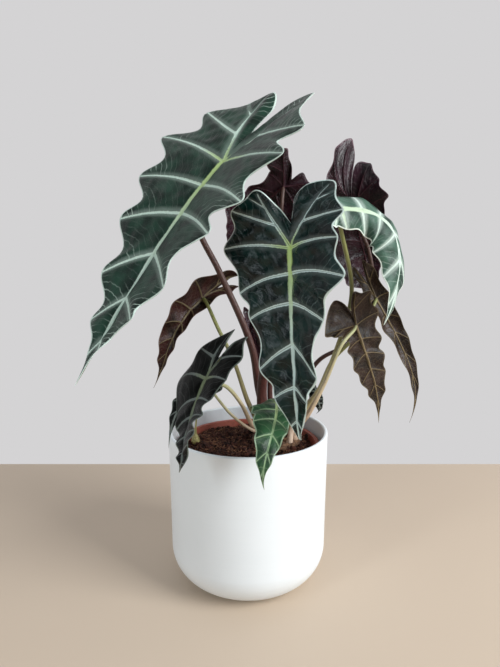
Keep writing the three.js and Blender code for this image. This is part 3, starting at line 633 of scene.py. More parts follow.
def face_at(faces, along, u):
    """Upward side of the blade: quadratic through three directions, made square to the spine."""
    k = ((u + 0.4) / 1.4)[:, None]
    face = (1 - k) * (1 - 2 * k) * faces[0] + 4 * k * (1 - k) * faces[1] + k * (2 * k - 1) * faces[2]
    face = face - (face * along).sum(axis=1, keepdims=True) * along
    return face / np.linalg.norm(face, axis=1, keepdims=True)


def lay_on(leaf, u, w):
    """Flat point to space: out = (sin a - sin fold) / bend, up = (cos fold - cos a) / bend, a = fold +
    bend times the run from the midrib. Gives the point and the skin's outward direction."""
    point, along = spine_at(leaf["spine"], u)
    face = face_at(leaf["faces"], along, u)
    side = np.cross(along, face)
    half = (w < 0).astype(int)
    scale = leaf["length"] * leaf["width"]
    fold = np.asarray(leaf["fold"])[half]
    bend = np.asarray(leaf["curl"])[half] / (0.35 * scale)
    a = fold + bend * np.abs(w) * scale
    out = (np.sin(a) - np.sin(fold)) / bend
    up = (np.cos(fold) - np.cos(a)) / bend
    sign = np.where(w < 0, -1.0, 1.0)
    spot = point + (sign * out)[:, None] * side + up[:, None] * face
    normal = np.cos(a)[:, None] * face - (sign * np.sin(a))[:, None] * side
    return spot, normal


def off_line(points, line, widths):
    """Least distance to a polyline, plain and divided by its half width at the nearest point."""
    start, end = line[:-1], line[1:]
    step = end - start
    rel = points[:, None] - start[None]
    t = np.clip((rel * step).sum(-1) / np.maximum((step ** 2).sum(-1), 1e-9), 0, 1)
    away = np.linalg.norm(rel - t[..., None] * step, axis=-1)
    best = away.argmin(axis=1)
    row = np.arange(len(points))
    place_on = (best + t[row, best]) / len(step)
    width_here = widths[0] + (widths[1] - widths[0]) * place_on
    return away[row, best], away[row, best] / width_here


def blade(name, leaf, top, under, slot_name):
    """Thin closed sheet over a flat grid (u, w): rows run from spine or lobe vein out to the margin.
    Upper side = flat sheet + margin wave + quilting between veins; underside = upper side - thickness
    - ribs."""
    per_span, steps = leaf.get("grid", (20, 40))
    scallop = leaf.get("scallop", 0.12)
    margins = leaf.get("margins", (common_margin, common_margin))
    scale = leaf["length"] * leaf["width"]
    to_mm = np.array([leaf["length"], scale])
    share = crowded(steps)
    branch = share[np.abs(share - branch_share).argmin()]
    local = crowded(per_span)[:-1]
    rear_rows = np.concatenate([local, 1 + local, [float(lobe_tip)]])
    front_rows = np.concatenate([k + local for k in range(branch_end + 1, leaf_tip)] + [[float(leaf_tip)]])
    flats, extras, quads, count = [], [], [], 0
    sheets = []
    for half, sign in ((0, 1.0), (1, -1.0)):
        keys = np.asarray(margins[half], dtype=float)
        tip = keys[lobe_tip]
        lobe = share[::-1]
        lobe_rows = np.where(lobe >= branch, lobe_tip + (1 - lobe) / (1 - branch),
                             branch_end + (branch - lobe) / branch)
        for rows, on_lobe in ((rear_rows, False), (lobe_rows, True), (front_rows, False)):
            end = margin_at(keys, rows, scallop)
            if on_lobe:
                start = lobe[:, None] * tip
            else:
                u0 = np.maximum(np.interp(rows, np.arange(leaf_tip + 1), vein_starts), keys[0, 0])
                start = np.stack([u0, 0 * u0], axis=-1)
            grid = start[:, None] + (end - start)[:, None] * share[None, :, None]
            bowed = np.clip(rows - branch_end, 0, 1) * np.clip(leaf_tip - rows, 0, 1) * vein_bow
            grid[..., 0] -= bowed[:, None] * np.sin(np.pi * share) * end[:, 1:2] * leaf["width"]
            grid[..., 1] *= sign
            vein_end = margin_at(keys, np.ceil(rows), scallop) * [1, sign]
            rung = np.linalg.norm((grid - vein_end[:, None]) * to_mm, axis=-1)
            wave = np.sin(1.5 * np.pi * rows + 2 * half)[:, None] + 0 * rung
            breadth = np.abs(end[:, 1:2]) * scale + 0 * rung
            n, m = grid.shape[:2]
            index = count + np.arange(n * m).reshape(n, m)
            a, b, c, d = index[:-1, :-1], index[1:, :-1], index[1:, 1:], index[:-1, 1:]
            order = (a, b, c, a, c, d) if half == 0 else (a, c, b, a, d, c)
            quads.append(np.stack(order, axis=-1).reshape(-1, 3))
            flats.append(grid.reshape(-1, 2))
            extras.append(np.stack([rung, wave, breadth], axis=-1).reshape(-1, 3))
            sheets.append((index[:, -1], half))
            count += n * m
    flat, extra, skin = np.concatenate(flats), np.concatenate(extras), np.concatenate(quads)
    _, first, welded = np.unique(np.round(flat * weld_grid).astype(int), axis=0,
                                 return_index=True, return_inverse=True)
    welded = welded.reshape(-1)
    flat, extra, skin = flat[first], extra[first], welded[skin]
    sound = (skin[:, 0] != skin[:, 1]) & (skin[:, 1] != skin[:, 2]) & (skin[:, 2] != skin[:, 0])
    skin = skin[sound]
    mm = flat * to_mm
    lateral, near_vein = np.full(len(mm), 1e3), np.full(len(mm), 1e3)
    margin = np.full(len(mm), 1e3)
    thick = leaf.get("vein", 1.0)
    for half, sign in ((0, 1.0), (1, -1.0)):
        keys = np.asarray(margins[half], dtype=float)
        mine = (flat[:, 1] * sign >= -1e-6)
        spots = mm[mine] * [1, sign]
        tip = keys[lobe_tip] * to_mm
        ends = margin_at(keys, np.arange(leaf_tip + 1.0), scallop) * to_mm
        twig = margin_at(keys, np.array([twig_end]), scallop)[0] * to_mm
        lines = [(np.stack([0 * tip, 0.93 * tip]), lobe_vein),
                 (np.stack([branch * tip, ends[branch_end]]), branch_vein),
                 (np.stack([0.7 * tip, twig]), twig_vein)]
        f = np.linspace(0, 1, 12)
        for k in range(branch_end + 1, leaf_tip):
            begin = np.array([vein_starts[k] * leaf["length"], 0.0])
            line = begin + (ends[k] - begin) * f[:, None]
            bowed = vein_bow * leaf["width"]
            line[:, 0] -= bowed * np.sin(np.pi * f) * ends[k, 1] / scale * leaf["length"]
            lines.append((line, (side_vein - side_vein_step * (k - branch_end - 1), side_vein_end)))
        for line, widths in lines:
            away, ratio = off_line(spots, line, np.array(widths) * thick)
            lateral[mine] = np.minimum(lateral[mine], ratio)
            near_vein[mine] = np.minimum(near_vein[mine], away)
        rim_line = margin_at(keys, np.linspace(0, leaf_tip, 240), scallop) * to_mm
        margin[mine] = np.minimum(margin[mine], off_line(spots, rim_line, (1, 1))[0])
    rib_line = np.stack([[0, 0], [leaf["length"], 0]]).astype(float)
    rib_away, midrib = off_line(mm, rib_line, np.array(midrib_vein) * thick)
    heartward = np.linalg.norm(mm, axis=1) * 150 / leaf["length"]
    near_any = np.minimum(near_vein, rib_away)
    body = 1 - np.exp(-margin / edge_run)
    quilt = leaf.get("quilt", 0.9) * (1 - np.exp(-(near_any / quilt_run) ** 2)) * body
    panel = body * (0.2 + 0.8 * (1 - np.exp(-(near_any / panel_run) ** 2)))
    quilt = quilt + lumps(mm[:, 0], mm[:, 1], quilt_waves) * leaf.get("crumple", 1.0) * panel
    wave = leaf.get("wave", 1.6) * extra[:, 1] * np.exp(-margin / (0.1 * leaf["length"]))
    wave *= np.clip(extra[:, 2] / 12, 0, 1)
    spot, normal = lay_on(leaf, flat[:, 0], flat[:, 1])
    upper = spot + (quilt + wave)[:, None] * normal
    ridge = 1.2 * thick * np.exp(-midrib ** 2) * np.clip(1.1 - flat[:, 0], 0.1, 1)
    ridge += 0.5 * thick * np.exp(-(lateral / 1.1) ** 2)
    depth = blade_thickness * (0.6 + 0.4 * body) + ridge * np.clip(margin / edge_run, 0, 1)
    lower = upper - depth[:, None] * normal
    total = len(upper)
    parts = [skin, skin[:, ::-1] + total]
    skins = [np.zeros(len(skin)), np.ones(len(skin))]
    for edge, half in sheets:
        edge = welded[edge]
        a, b = (edge[:-1], edge[1:]) if half == 0 else (edge[1:], edge[:-1])
        real = a != b
        a, b = a[real], b[real]
        strip = np.concatenate([np.stack([a, b, a + total], -1),
                                np.stack([b, b + total, a + total], -1)])
        parts.append(strip)
        skins.append(np.full(len(strip), float(slot_name == "leaf_underside")))
    triangles = np.concatenate(parts)
    points = np.concatenate([upper, lower])
    corner = points[triangles]
    volume = (corner[:, 0] * np.cross(corner[:, 1], corner[:, 2])).sum()
    if volume < 0:
        triangles = triangles[:, ::-1]
    twice = {"lateral": lateral, "midrib": midrib, "rung": extra[:, 0], "heartward": heartward,
             "margin": margin / np.clip(extra[:, 2] / 8, 0.2, 1),
             "flat": np.concatenate([mm, 0 * mm[:, :1]], axis=1)}
    values = {key: np.concatenate([value, value]) for key, value in twice.items()}
    piece = mesh_piece(name, points, triangles, [top, under], values, np.concatenate(skins))
    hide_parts(name + "_blade")
    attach(piece, "root")


def smooth_path(stations, count):
    """Centripetal Catmull-Rom through the stations, read off at even arc lengths."""
    s = np.asarray(stations, dtype=float)
    s = np.concatenate([[2 * s[0] - s[1]], s, [2 * s[-1] - s[-2]]])
    t = np.linspace(0, 1, 60, endpoint=False)[:, None]
    runs = []
    for p, q, r, v in zip(s[:-3], s[1:-2], s[2:-1], s[3:]):
        d0, d1, d2 = (max(np.linalg.norm(e) ** 0.5, 1e-4) for e in (q - p, r - q, v - r))
        m1 = ((q - p) / d0 - (r - p) / (d0 + d1) + (r - q) / d1) * d1
        m2 = ((r - q) / d1 - (v - q) / (d1 + d2) + (v - r) / d2) * d1
        runs.append(q + m1 * t + (-3 * q + 3 * r - 2 * m1 - m2) * t ** 2
                    + (2 * q - 2 * r + m1 + m2) * t ** 3)
    line = np.concatenate(runs + [s[-2:-1]])
    gone = np.concatenate([[0], np.cumsum(np.linalg.norm(np.diff(line, axis=0), axis=1))])
    at = np.linspace(0, gone[-1], count)
    return np.stack([np.interp(at, gone, line[:, k]) for k in range(3)], axis=-1), at


def petiole(name, leaf, stalk, skin):
    """Stalk: rings square to a smooth path; the radius runs evenly from base to top, swollen by a fifth
    at the foot and drawn in over the last millimetres, times ribs 1 + 0.025 cos(7a + 3t) + 0.03 sin(2a +
    9t); the top is domed."""
    rings, sides, sink, rise, draw = 150, 28, 1.2, 6.3, 2.2
    origin, along = spine_at(leaf["spine"], np.array([0.0]))
    face = face_at(leaf["faces"], along, np.array([0.0]))[0]
    droop = np.tan(max(0.0, -min(leaf["fold"])))
    join = origin[0]
    end = join - face * (1.5 + 0.7 * stalk["top"] * droop)
    back = np.asarray(stalk["through"][-1], dtype=float) - end
    before = end + back * min(0.2, 9.0 / np.linalg.norm(back)) - face * stalk["neck"] * 0.35
    foot = np.array([*stalk["foot"], corm_top - sink])
    upright = np.array([*stalk["foot"], corm_top + rise])
    path, gone = smooth_path([foot, upright, *stalk["through"], before, end], rings)
    t = gone / gone[-1]
    heading = np.gradient(path, axis=0)
    heading /= np.linalg.norm(heading, axis=1, keepdims=True)
    side = np.array([1.0, 0, 0]) - heading[:, :1] * heading
    side /= np.linalg.norm(side, axis=1, keepdims=True)
    other = np.cross(heading, side)
    radius = (stalk["base"] + (stalk["top"] - stalk["base"]) * t) * (1 + 0.2 * np.exp(-9 * t))
    radius *= 1 - 0.45 * np.clip((gone - gone[-1] + draw) / draw, 0, 1) ** 2
    a = np.linspace(0, 2 * np.pi, sides, endpoint=False)
    ribs = (1 + 0.025 * np.cos(7 * a[None] + 3 * t[:, None])
            + 0.03 * np.sin(2 * a[None] + 9 * t[:, None]))
    swell = radius[:, None] * ribs
    cos_a, sin_a = swell * np.cos(a), swell * np.sin(a)
    body = path[:, None] + cos_a[..., None] * side[:, None] + sin_a[..., None] * other[:, None]
    dome = path[-1] + heading[-1] * radius[-1] * 0.35
    points = np.concatenate([body.reshape(-1, 3), path[:1], dome[None]])
    climb = np.concatenate([np.repeat(t, sides), [0, 1]])
    wrap = np.stack([cos_a, sin_a, np.repeat(gone[:, None], sides, 1)], axis=-1).reshape(-1, 3)
    wrap = np.concatenate([wrap, [[0, 0, 0], [0, 0, gone[-1]]]])
    piece = mesh_piece(name + "_stalk", points, tube_faces(rings, sides), [skin],
                       {"climb": climb, "skin": wrap})
    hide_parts(name + "_petiole")
    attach(piece, "root")


def leaf(name, size, stalk, top, under, skin, slots):
    """One whole leaf: blade and petiole."""
    size = {key: np.asarray(value, dtype=float) if key in ("spine", "faces", "fold", "curl") else value
            for key, value in size.items()}
    blade(name, size, top, under, slots[0])
    petiole(name, size, stalk, skin)


# Tall leaf at the left, the largest, held highest and hanging forward with its tip lowest.
leaf("leaf_tall_left",
     {"length": 225, "width": 0.95, "fold": [0.05, 0.38], "curl": [-0.08, -0.1], "grid": (24, 48),
      "vein": 1.05, "quilt": 1.5, "scallop": 0.28,
      "spine": [[38, 22, 416], [-20, -2, 362], [-59, -24, 310], [-98, -53, 244], [-116, -105, 199]],
      "faces": [[-0.36, -0.59, 0.72], [-0.46, -0.8, 0.39], [-0.51, -0.83, 0.21]],
      "margins": [
          [[-0.16, 0], [-0.35, 0.06], [-0.4, 0.17], [-0.22, 0.34], [-0.03, 0.42], [0.19, 0.34],
           [0.38, 0.26], [0.57, 0.17], [0.72, 0.1], [0.84, 0.05], [1, 0]],
          [[-0.16, 0], [-0.33, 0.03], [-0.42, 0.15], [-0.2, 0.34], [-0.01, 0.37], [0.22, 0.33],
           [0.35, 0.25], [0.57, 0.2], [0.72, 0.15], [0.84, 0.06], [1, 0]]]},
     {"foot": [19, 11],
      "through": [[10, 11, 165], [3, 8, 206], [-25, 9, 272], [-43, 11, 310], [-42, 8, 338]],
      "base": 3.6, "top": 2.2, "neck": 10},
     top_teal, under_plum, stalk_maroon, ("leaf_top", "petiole_maroon"))

# Broad leaf hanging at the front, folded in a shallow V, tip just above the rim.
leaf("leaf_front",
     {"length": 148, "width": 1.04, "fold": [0.2, 0.5], "curl": [-0.26, -0.3], "grid": (24, 46),
      "vein": 0.95, "quilt": 1.2, "crumple": 3.4, "scallop": 0.14,
      "spine": [[34, -58, 333], [31, -64, 291], [32, -70, 243], [35, -76, 182], [41, -62, 146]],
      "faces": [[-0.32, -0.92, -0.23], [-0.64, -0.75, 0.16], [-0.31, -0.95, 0.07]],
      "margins": [
          [[-0.16, 0], [-0.28, 0.07], [-0.38, 0.19], [-0.25, 0.31], [-0.02, 0.39], [0.22, 0.31],
           [0.34, 0.24], [0.55, 0.18], [0.67, 0.11], [0.82, 0.05], [1, 0]],
          [[-0.16, 0], [-0.37, 0.02], [-0.42, 0.2], [-0.21, 0.31], [-0.02, 0.33], [0.19, 0.38],
           [0.36, 0.24], [0.57, 0.17], [0.67, 0.1], [0.82, 0.045], [1, 0]]]},
     {"foot": [14.5, 2], "through": [[12, 0, 169], [20, -20, 225]],
      "base": 4.8, "top": 2.4, "neck": 12},
     top_front, under_plum, stalk_dark, ("leaf_top", "petiole_maroon"))

# Leaf arching over at the right: its upper side on the bend is painted paler as a painted sheen of the
# window light, purple underside below it.
leaf("leaf_right_arch",
     {"length": 135, "width": 0.8, "fold": [-0.35, 0.1], "curl": [-1.2, -1.2], "grid": (22, 40),
      "vein": 0.85, "quilt": 0.7,
      "spine": [[38, -58, 323], [75, -18, 323], [116, 3, 315], [129, 0, 275], [115, -8, 227]],
      "faces": [[-0.1, -0.35, 0.93], [0.75, -0.45, 0.45], [0.75, -0.6, 0.1]],
      "margins": [
          [[-0.06, 0], [-0.09, 0.03], [-0.12, 0.08], [-0.08, 0.14], [0.02, 0.16], [0.2, 0.2],
           [0.38, 0.27], [0.57, 0.24], [0.74, 0.15], [0.88, 0.07], [1, 0]],
          [[-0.06, 0], [-0.13, 0.05], [-0.2, 0.14], [-0.12, 0.25], [0, 0.3], [0.18, 0.31],
           [0.36, 0.26], [0.55, 0.2], [0.73, 0.13], [0.87, 0.06], [1, 0]]]},
     {"foot": [38, 8], "through": [[61, 6, 163], [80, 18, 202], [93, 22, 252]],
      "base": 2.4, "top": 1.7, "neck": 8},
     top_painted_sheen, under_plum, stalk_olive, ("leaf_top", "petiole_olive"))

# Leaf behind at the right, turned away, its glossy purple underside to the front.
leaf("leaf_back_right",
     {"length": 90, "width": 0.9, "fold": [-0.25, -0.25], "curl": [-0.4, -0.4], "grid": (18, 34),
      "vein": 0.7, "quilt": 0.9,
      "spine": [[95, 46, 356], [101, 56, 321], [111, 68, 296], [120, 72, 270], [129, 68, 246]],
      "faces": [[0.1, 0.9, 0.4], [0.1, 0.95, 0.2], [0, 1, 0]],
      "margins": [
          [[-0.16, 0], [-0.5, 0.012], [-0.54, 0.17], [-0.4, 0.3], [-0.24, 0.44], [-0.05, 0.38],
           [0.31, 0.27], [0.6, 0.17], [0.78, 0.1], [0.9, 0.05], [1, 0]],
          [[-0.16, 0], [-0.56, 0.012], [-0.63, 0.17], [-0.53, 0.31], [-0.38, 0.31], [-0.15, 0.33],
           [0.11, 0.42], [0.5, 0.46], [0.77, 0.34], [0.9, 0.2], [1, 0]]]},
     {"foot": [32, 15], "through": [[64, 28, 188], [96, 42, 205], [119, 54, 252], [114, 52, 291]],
      "base": 2.2, "top": 1.6, "neck": 6},
     top_teal, under_wine, stalk_maroon, ("leaf_underside", "petiole_maroon"))

# Leaf behind the middle, seen between the two large ones.
leaf("leaf_back_centre",
     {"length": 70, "width": 1.0, "fold": [-0.1, -0.1], "curl": [-0.2, -0.2], "grid": (18, 34),
      "vein": 0.7, "quilt": 0.8,
      "spine": [[45, 20, 358], [31, 26, 346], [14, 34, 333], [-4, 36, 318], [-19, 30, 299]],
      "faces": [[0, 0.95, 0.3], [0, 0.98, 0.2], [0, 1, 0]],
      "margins": [
          [[-0.16, 0], [-0.45, 0.04], [-0.4, 0.22], [-0.27, 0.38], [0.1, 0.48], [0.38, 0.46],
           [0.6, 0.4], [0.82, 0.29], [0.92, 0.19], [0.98, 0.09], [1, 0]],
          [[-0.16, 0], [-0.35, 0.16], [-0.39, 0.36], [-0.07, 0.37], [0.02, 0.25], [0.33, 0.28],
           [0.54, 0.3], [0.76, 0.28], [0.88, 0.2], [0.95, 0.1], [1, 0]]]},
     {"foot": [25, 17], "through": [[20, 16, 156], [25, 20, 246]],
      "base": 2.4, "top": 1.7, "neck": 8},
     top_teal, under_wine, stalk_maroon, ("leaf_underside", "petiole_maroon"))

# Narrow folded leaf at the left, underside to the front.
leaf("leaf_left",
     {"length": 98, "width": 0.64, "fold": [-0.7, -0.55], "curl": [-0.5, -0.5], "grid": (18, 34),
      "vein": 0.75, "quilt": 0.8,
      "spine": [[-7, 40, 262], [-42, 29, 247], [-62, 14, 223], [-74, 12, 196], [-86, 14, 167]],
      "faces": [[0.19, 0.97, 0.13], [0.15, 0.98, 0.15], [0, 1, 0]],
      "margins": [common_margin * [1, 0.55], common_margin]},
     {"foot": [10, 9], "through": [[-1, 4, 159], [-13, 4, 195], [-27, 10, 223]],
      "base": 2.2, "top": 1.5, "neck": 6},
     top_teal, under_maroon, stalk_olive, ("leaf_underside", "petiole_olive"))

# Dark leaf low at the left, upper side to the front, hanging over the rim; its near-black upper skin with
# grey veins is painted shade.
leaf("leaf_lower_left",
     {"length": 99, "width": 0.77, "fold": [0.05, 0.57], "curl": [-0.5, -0.6], "grid": (20, 36),
      "vein": 0.75, "quilt": 0.9,
      "spine": [[-7, -18, 220], [-33, -43, 189], [-44, -68, 161], [-47, -88, 143], [-51, -80, 127]],
      "faces": [[-0.49, -0.75, 0.44], [-0.55, -0.83, -0.12], [-0.5, -0.86, 0.06]],
      "margins": [
          [[-0.16, 0], [-0.28, 0.04], [-0.42, 0.13], [-0.19, 0.3], [-0.01, 0.49], [0.22, 0.34],
           [0.34, 0.22], [0.48, 0.14], [0.65, 0.09], [0.87, 0.04], [1, 0]],
          [[-0.16, 0], [-0.24, 0.1], [-0.42, 0.12], [-0.21, 0.33], [0.02, 0.35], [0.22, 0.3],
           [0.35, 0.29], [0.5, 0.27], [0.62, 0.2], [0.76, 0.08], [1, 0]]]},
     {"foot": [11, -5], "through": [[4, -8, 139], [-6, -16, 161], [-18, -28, 179]],
      "base": 2.0, "top": 1.4, "neck": 5},
     top_painted_shade, under_plum, stalk_pink, ("leaf_top", "petiole_pink"))

# Small leaf behind it, also dark: the same painted-shade upper skin.
leaf("leaf_lower_left_rear",
     {"length": 62, "width": 0.75, "fold": [0.0, 0.2], "curl": [-0.5, -0.5], "grid": (14, 28),
      "vein": 0.6, "quilt": 0.6,
      "spine": [[-28, -8, 191], [-36, -16, 181], [-47, -28, 172], [-58, -39, 159], [-64, -44, 132]],
      "faces": [[-0.3, -0.8, 0.5], [-0.4, -0.9, 0.1], [-0.3, -0.95, 0]]},
     {"foot": [16, -9.5], "through": [[4, -12, 136], [-14, -16, 151]],
      "base": 1.5, "top": 1.1, "neck": 5},
     top_painted_shade, under_plum, stalk_pink, ("leaf_top", "petiole_pink"))

# Leaf low at the right on a pale stalk, brown underside to the front.
leaf("leaf_lower_right",
     {"length": 102, "width": 0.75, "fold": [0.1, -0.1], "curl": [-0.1, -0.2], "grid": (20, 36),
      "vein": 0.6, "quilt": 1.0, "crumple": 1.6, "scallop": 0.2,
      "spine": [[84, -6, 253], [95, 9, 225], [106, 10, 196], [117, 18, 165], [122, 23, 131]],
      "faces": [[0.1, 0.93, 0.36], [-0.15, 0.95, 0.05], [0, 1, 0.08]],
      "margins": [
          [[-0.16, 0], [-0.3, 0.03], [-0.45, 0.1], [-0.32, 0.27], [-0.05, 0.3], [0.2, 0.24],
           [0.37, 0.22], [0.55, 0.18], [0.73, 0.11], [0.87, 0.045], [1, 0]],
          [[-0.16, 0], [-0.36, 0.14], [-0.04, 0.4], [0.03, 0.3], [0.08, 0.2], [0.2, 0.2],
           [0.37, 0.22], [0.55, 0.17], [0.73, 0.1], [0.87, 0.04], [1, 0]]]},
     {"foot": [41.5, -3], "through": [[52, -8, 149], [65, -10, 176], [79.5, -10, 211]],
      "base": 2.4, "top": 1.3, "neck": 8},
     top_teal, under_brown, stalk_pink, ("leaf_underside", "petiole_pink"))

# Long narrow leaf hanging at the far right.
leaf("leaf_right_hanging",
     {"length": 106, "width": 0.35, "fold": [-0.3, -0.3], "curl": [-0.5, -0.5], "grid": (16, 28),
      "vein": 0.55, "quilt": 0.5,
      "spine": [[100, 38, 280], [120, 42, 246], [141, 40, 209], [157, 36, 169], [153, 30, 129]],
      "faces": [[-0.2, 0.95, 0.2], [-0.3, 0.95, 0.1], [-0.2, 0.97, 0]]},
     {"foot": [29, 8], "through": [[61, 15, 160], [78, 26, 190], [100, 30, 213]],
      "base": 2.2, "top": 1.5, "neck": 5},
     top_teal, under_brown, stalk_olive, ("leaf_underside", "petiole_olive"))

# Young green leaf lying over the front rim.
leaf("leaf_over_rim",
     {"length": 75, "width": 0.83, "fold": [0.15, 0.15], "curl": [-0.5, -0.6], "grid": (18, 34),
      "vein": 0.45, "quilt": 0.6,
      "spine": [[22, -14, 165], [23, -41, 169], [20, -69, 161], [13, -91, 143], [12, -92, 119]],
      "faces": [[-0.1, -0.83, 0.51], [-0.05, -0.95, 0.13], [-0.15, -0.97, -0.1]],
      "margins": [common_margin, common_margin * [1, 0.7]]},
     {"foot": [22, -11], "through": [[22, -20, 144]], "base": 1.8, "top": 1.3, "neck": 5},
     top_young, under_young, stalk_pink, ("leaf_young", "petiole_pink"))

# Two small leaves low in the middle: one hanging, one still half curled; both wear the painted-shade upper
# skin.
leaf("leaf_small_centre",
     {"length": 44, "width": 0.54, "fold": [-0.4, -0.26], "curl": [-0.5, -0.43], "grid": (14, 26),
      "vein": 0.45, "quilt": 0.4, "wave": 0.6, "crumple": 0.5,
      "spine": [[-1, 19, 243], [4, 21, 227], [6, 20, 212], [9, 19, 197], [12, 18, 182]],
      "faces": [[0, 0.96, 0.28], [0, 0.98, 0.17], [0, 1, 0.09]]},
     {"foot": [17, 19.5], "through": [[15, 18, 164], [14, 12, 201]],
      "base": 1.8, "top": 1.2, "neck": 4},
     top_painted_shade, under_wine, stalk_maroon, ("leaf_underside", "petiole_maroon"))
leaf("leaf_small_curled",
     {"length": 22, "width": 1.1, "fold": [-0.1, -0.1], "curl": [-0.8, -0.8], "grid": (12, 22),
      "vein": 0.4, "quilt": 0.3, "wave": 0.3, "crumple": 0.4,
      "spine": [[66, 30, 166], [64, 27, 160], [65, 23, 153], [67, 25, 145], [64, 29, 138]],
      "faces": [[0.3, -0.8, 0.5], [0.2, -0.95, 0], [0.1, -0.8, -0.5]]},
     {"foot": [41, 14.5], "through": [[50, 24, 142]], "base": 1.5, "top": 1.1, "neck": 4},
     top_painted_shade, under_plum, stalk_pink, ("leaf_top", "petiole_pink"))

# ---------- papery sheaths ----------
# Dry pinkish leaf bases left standing at the crown, thin and torn to a point.
paper, tree, shader, place = new_material("sheath_paper")
grainy = grain(tree, stretched(tree, place, (900.0, 900.0, 60.0)), 1.0, 4.0, 0.6)
husk = blended(tree, eased(tree, grainy, 0.35, 0.65), tone(186, 152, 128), tone(224, 202, 180))
dry = eased(tree, grain(tree, place, 160.0, 3.0), 0.55, 0.7, 0.0, 0.6)
husk = blended(tree, dry, husk, tone(140, 100, 76))
dress(tree, shader, husk, 0.6, grainy, 0.0004)


def sheath(name, foot, height, radius, lean, opening, turn):
    """Pointed shell: ring r (1 - v / 4), half opening (1 - v)^0.8, leaning with v squared, two skins."""
    rows, steps, skin_thickness, sink = 70, 48, 0.55, 0.6
    v = np.linspace(0, 1, rows + 1)[:, None]
    k = np.linspace(-1, 1, steps + 1)[None]
    half = (opening / 2) * (1 - v) ** 0.8 + 0.1
    a = turn + half * k
    crinkle = 0.12 * np.sin(9 * k + 7 * v) * v + 0.06 * np.sin(31 * k)
    shells = []
    for inside in (0, 1):
        ring = (radius - inside * skin_thickness) * (1 - 0.25 * v) + crinkle
        ripple = 0.5 * np.sin(3 * v + 2 * k) * v * (1 - np.abs(k) * 0.5)
        x = foot[0] + ring * np.cos(a) + lean[0] * v ** 2 + ripple * 0.4
        y = foot[1] + ring * np.sin(a) + lean[1] * v ** 2
        z = corm_top - sink + (height + sink) * v + 0.5 * np.sin(17 * k) * v * (1 - v)
        shells.append(np.stack([x, y, z + 0 * k], axis=-1).reshape(-1, 3))
    across = steps + 1
    index = np.arange((rows + 1) * across).reshape(rows + 1, across)
    inner = index + (rows + 1) * across
    a0, b0, c0, d0 = index[:-1, :-1], index[:-1, 1:], index[1:, 1:], index[1:, :-1]
    a1, b1, c1, d1 = inner[:-1, :-1], inner[:-1, 1:], inner[1:, 1:], inner[1:, :-1]
    parts = [np.stack([a0, b0, c0, a0, c0, d0], -1), np.stack([a1, c1, b1, a1, d1, c1], -1)]
    for outer_edge, inner_edge in ((index[:, 0], inner[:, 0]), (index[::-1, -1], inner[::-1, -1]),
                                   (index[0, ::-1], inner[0, ::-1]), (index[-1], inner[-1])):
        p, q, r, s = outer_edge[:-1], outer_edge[1:], inner_edge[1:], inner_edge[:-1]
        parts.append(np.stack([p, q, r, p, r, s], -1))
    triangles = np.concatenate([part.reshape(-1, 3) for part in parts])
    piece = mesh_piece(name + "_husk", np.concatenate(shells), triangles, [paper])
    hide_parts(name)
    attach(piece, "root")


sheath("sheath_front", (28, -3), 36, 3.6, (6, -4), 4.2, -1.6)
sheath("sheath_right", (36, -11), 30, 3.2, (8, 2), 3.8, -0.8)

# ---------- offset shoot ----------
# A young bulbil resting on the mix at the left, olive-skinned, with last year's dry stalk on top.
shoot_x, shoot_y, shoot_foot = -47.0, 0.0, 118.8
shoot_keys = np.array([[0, 0], [1.4, 0.05], [2.4, 0.7], [3.5, 2.6], [3.6, 3.8], [3.1, 6.2], [2.1, 8.2],
                       [1.2, 10], [0.85, 13], [0.75, 20], [0.7, 25], [0.35, 25.9], [0, 26]])
at = np.linspace(0, len(shoot_keys) - 1, 90)
shoot_profile = np.stack([np.interp(at, np.arange(len(shoot_keys)), column)
                          for column in shoot_keys.T], axis=-1)
inner_part = shoot_profile[1:-1]
inner_part[1:-1] = (inner_part[:-2] + inner_part[1:-1] * 2 + inner_part[2:]) / 4
points, triangles = turned(shoot_profile, 40)
angle = np.arctan2(points[:, 1], points[:, 0])
points[:, :2] *= (1 + 0.04 * np.sin(angle * 6 + points[:, 2] * 0.4))[:, None]
bend = 0.004 * np.maximum(points[:, 2] - 8, 0) ** 2
points += np.stack([shoot_x + bend, shoot_y + 0 * bend, shoot_foot + 0 * bend], axis=-1)
bulb, tree, shader, place = new_material("bulbil_skin")
lined = grain(tree, stretched(tree, place, (1200.0, 1200.0, 90.0)), 1.0, 4.0)
skin = blended(tree, eased(tree, lined, 0.35, 0.65), tone(120, 112, 62), tone(186, 178, 116))
dress(tree, shader, skin, 0.5, lined, 0.0003)
shoot = mesh_piece("bulbil", points, triangles, [bulb])
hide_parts("offset_shoot")
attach(shoot, "root")

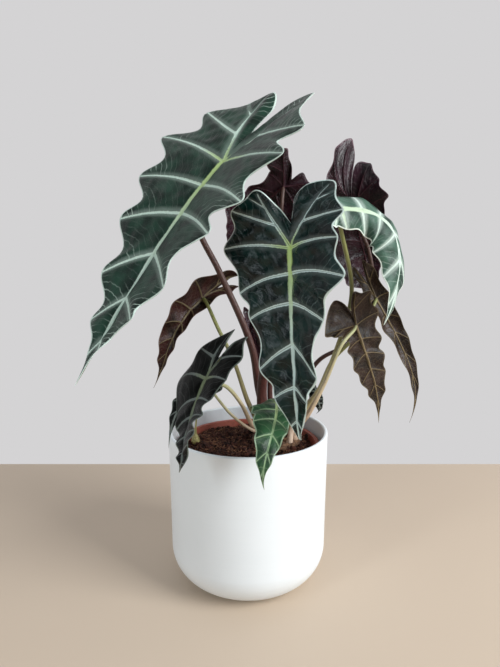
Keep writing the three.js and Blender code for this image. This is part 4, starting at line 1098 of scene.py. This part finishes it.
# ---------- floor, light and camera ----------
# Plain beige table top, pale room all round, one soft window-like light from the right.
table_mat, tree, shader, place = new_material("table_top")
even = grain(tree, place, 3.0, 2.0)
dress(tree, shader, blended(tree, even, tone(200, 182, 162), tone(208, 190, 170)), 0.6, even, 0.0001)
reach, far_edge = 2500.0, 240.0
corners = [[-reach, -reach, 0], [reach, -reach, 0], [reach, far_edge, 0], [-reach, far_edge, 0]]
floor = mesh_piece("table", corners, [[0, 1, 2], [0, 2, 3]], [table_mat])

bpy.context.scene.view_settings.view_transform = "Standard"
world = bpy.data.worlds.new("room")
bpy.context.scene.world = world
world.use_nodes = True
tree = world.node_tree
background = tree.nodes["Background"]
sky = put(tree, "ShaderNodeTexCoord").outputs["Generated"]
depth = put(tree, "ShaderNodeSeparateXYZ", {0: sky}).outputs["Y"]
room_tone = blended(tree, eased(tree, depth, -0.35, 0.55), tone(150, 152, 156), tone(212, 211, 212))
tree.links.new(room_tone, background.inputs["Color"])
background.inputs["Strength"].default_value = 1.0


def soft_light(name, place, aim, width, height, power, colour):
    """Rectangular lamp at a place, turned toward its aim."""
    lamp = bpy.data.lights.new(name, "AREA")
    lamp.shape, lamp.size, lamp.size_y = "RECTANGLE", width, height
    lamp.energy, lamp.color = power, colour
    holder = bpy.data.objects.new(name, lamp)
    holder.location = place
    direction = Vector(np.array(aim) - np.array(place))
    holder.rotation_euler = direction.to_track_quat("-Z", "Y").to_euler()
    bpy.context.scene.collection.objects.link(holder)


soft_light("window", (1.3, -0.75, 0.95), (0, 0, 0.22), 0.8, 1.1, 32.0, (0.97, 0.99, 1.0))
soft_light("fill", (-1.15, -1.05, 0.7), (0, 0, 0.2), 0.22, 0.9, 6.0, (0.86, 0.95, 1.0))

camera_place, camera_dip = (0.0016, -0.440, 0.284), 8.39
camera = bpy.data.cameras.new("view")
camera.lens = 27.69
camera.sensor_width = 36.0
camera_holder = bpy.data.objects.new("view", camera)
camera_holder.location = camera_place
camera_holder.rotation_euler = (np.radians(90 - camera_dip), 0, 0)
bpy.context.scene.collection.objects.link(camera_holder)
bpy.context.scene.camera = camera_holder
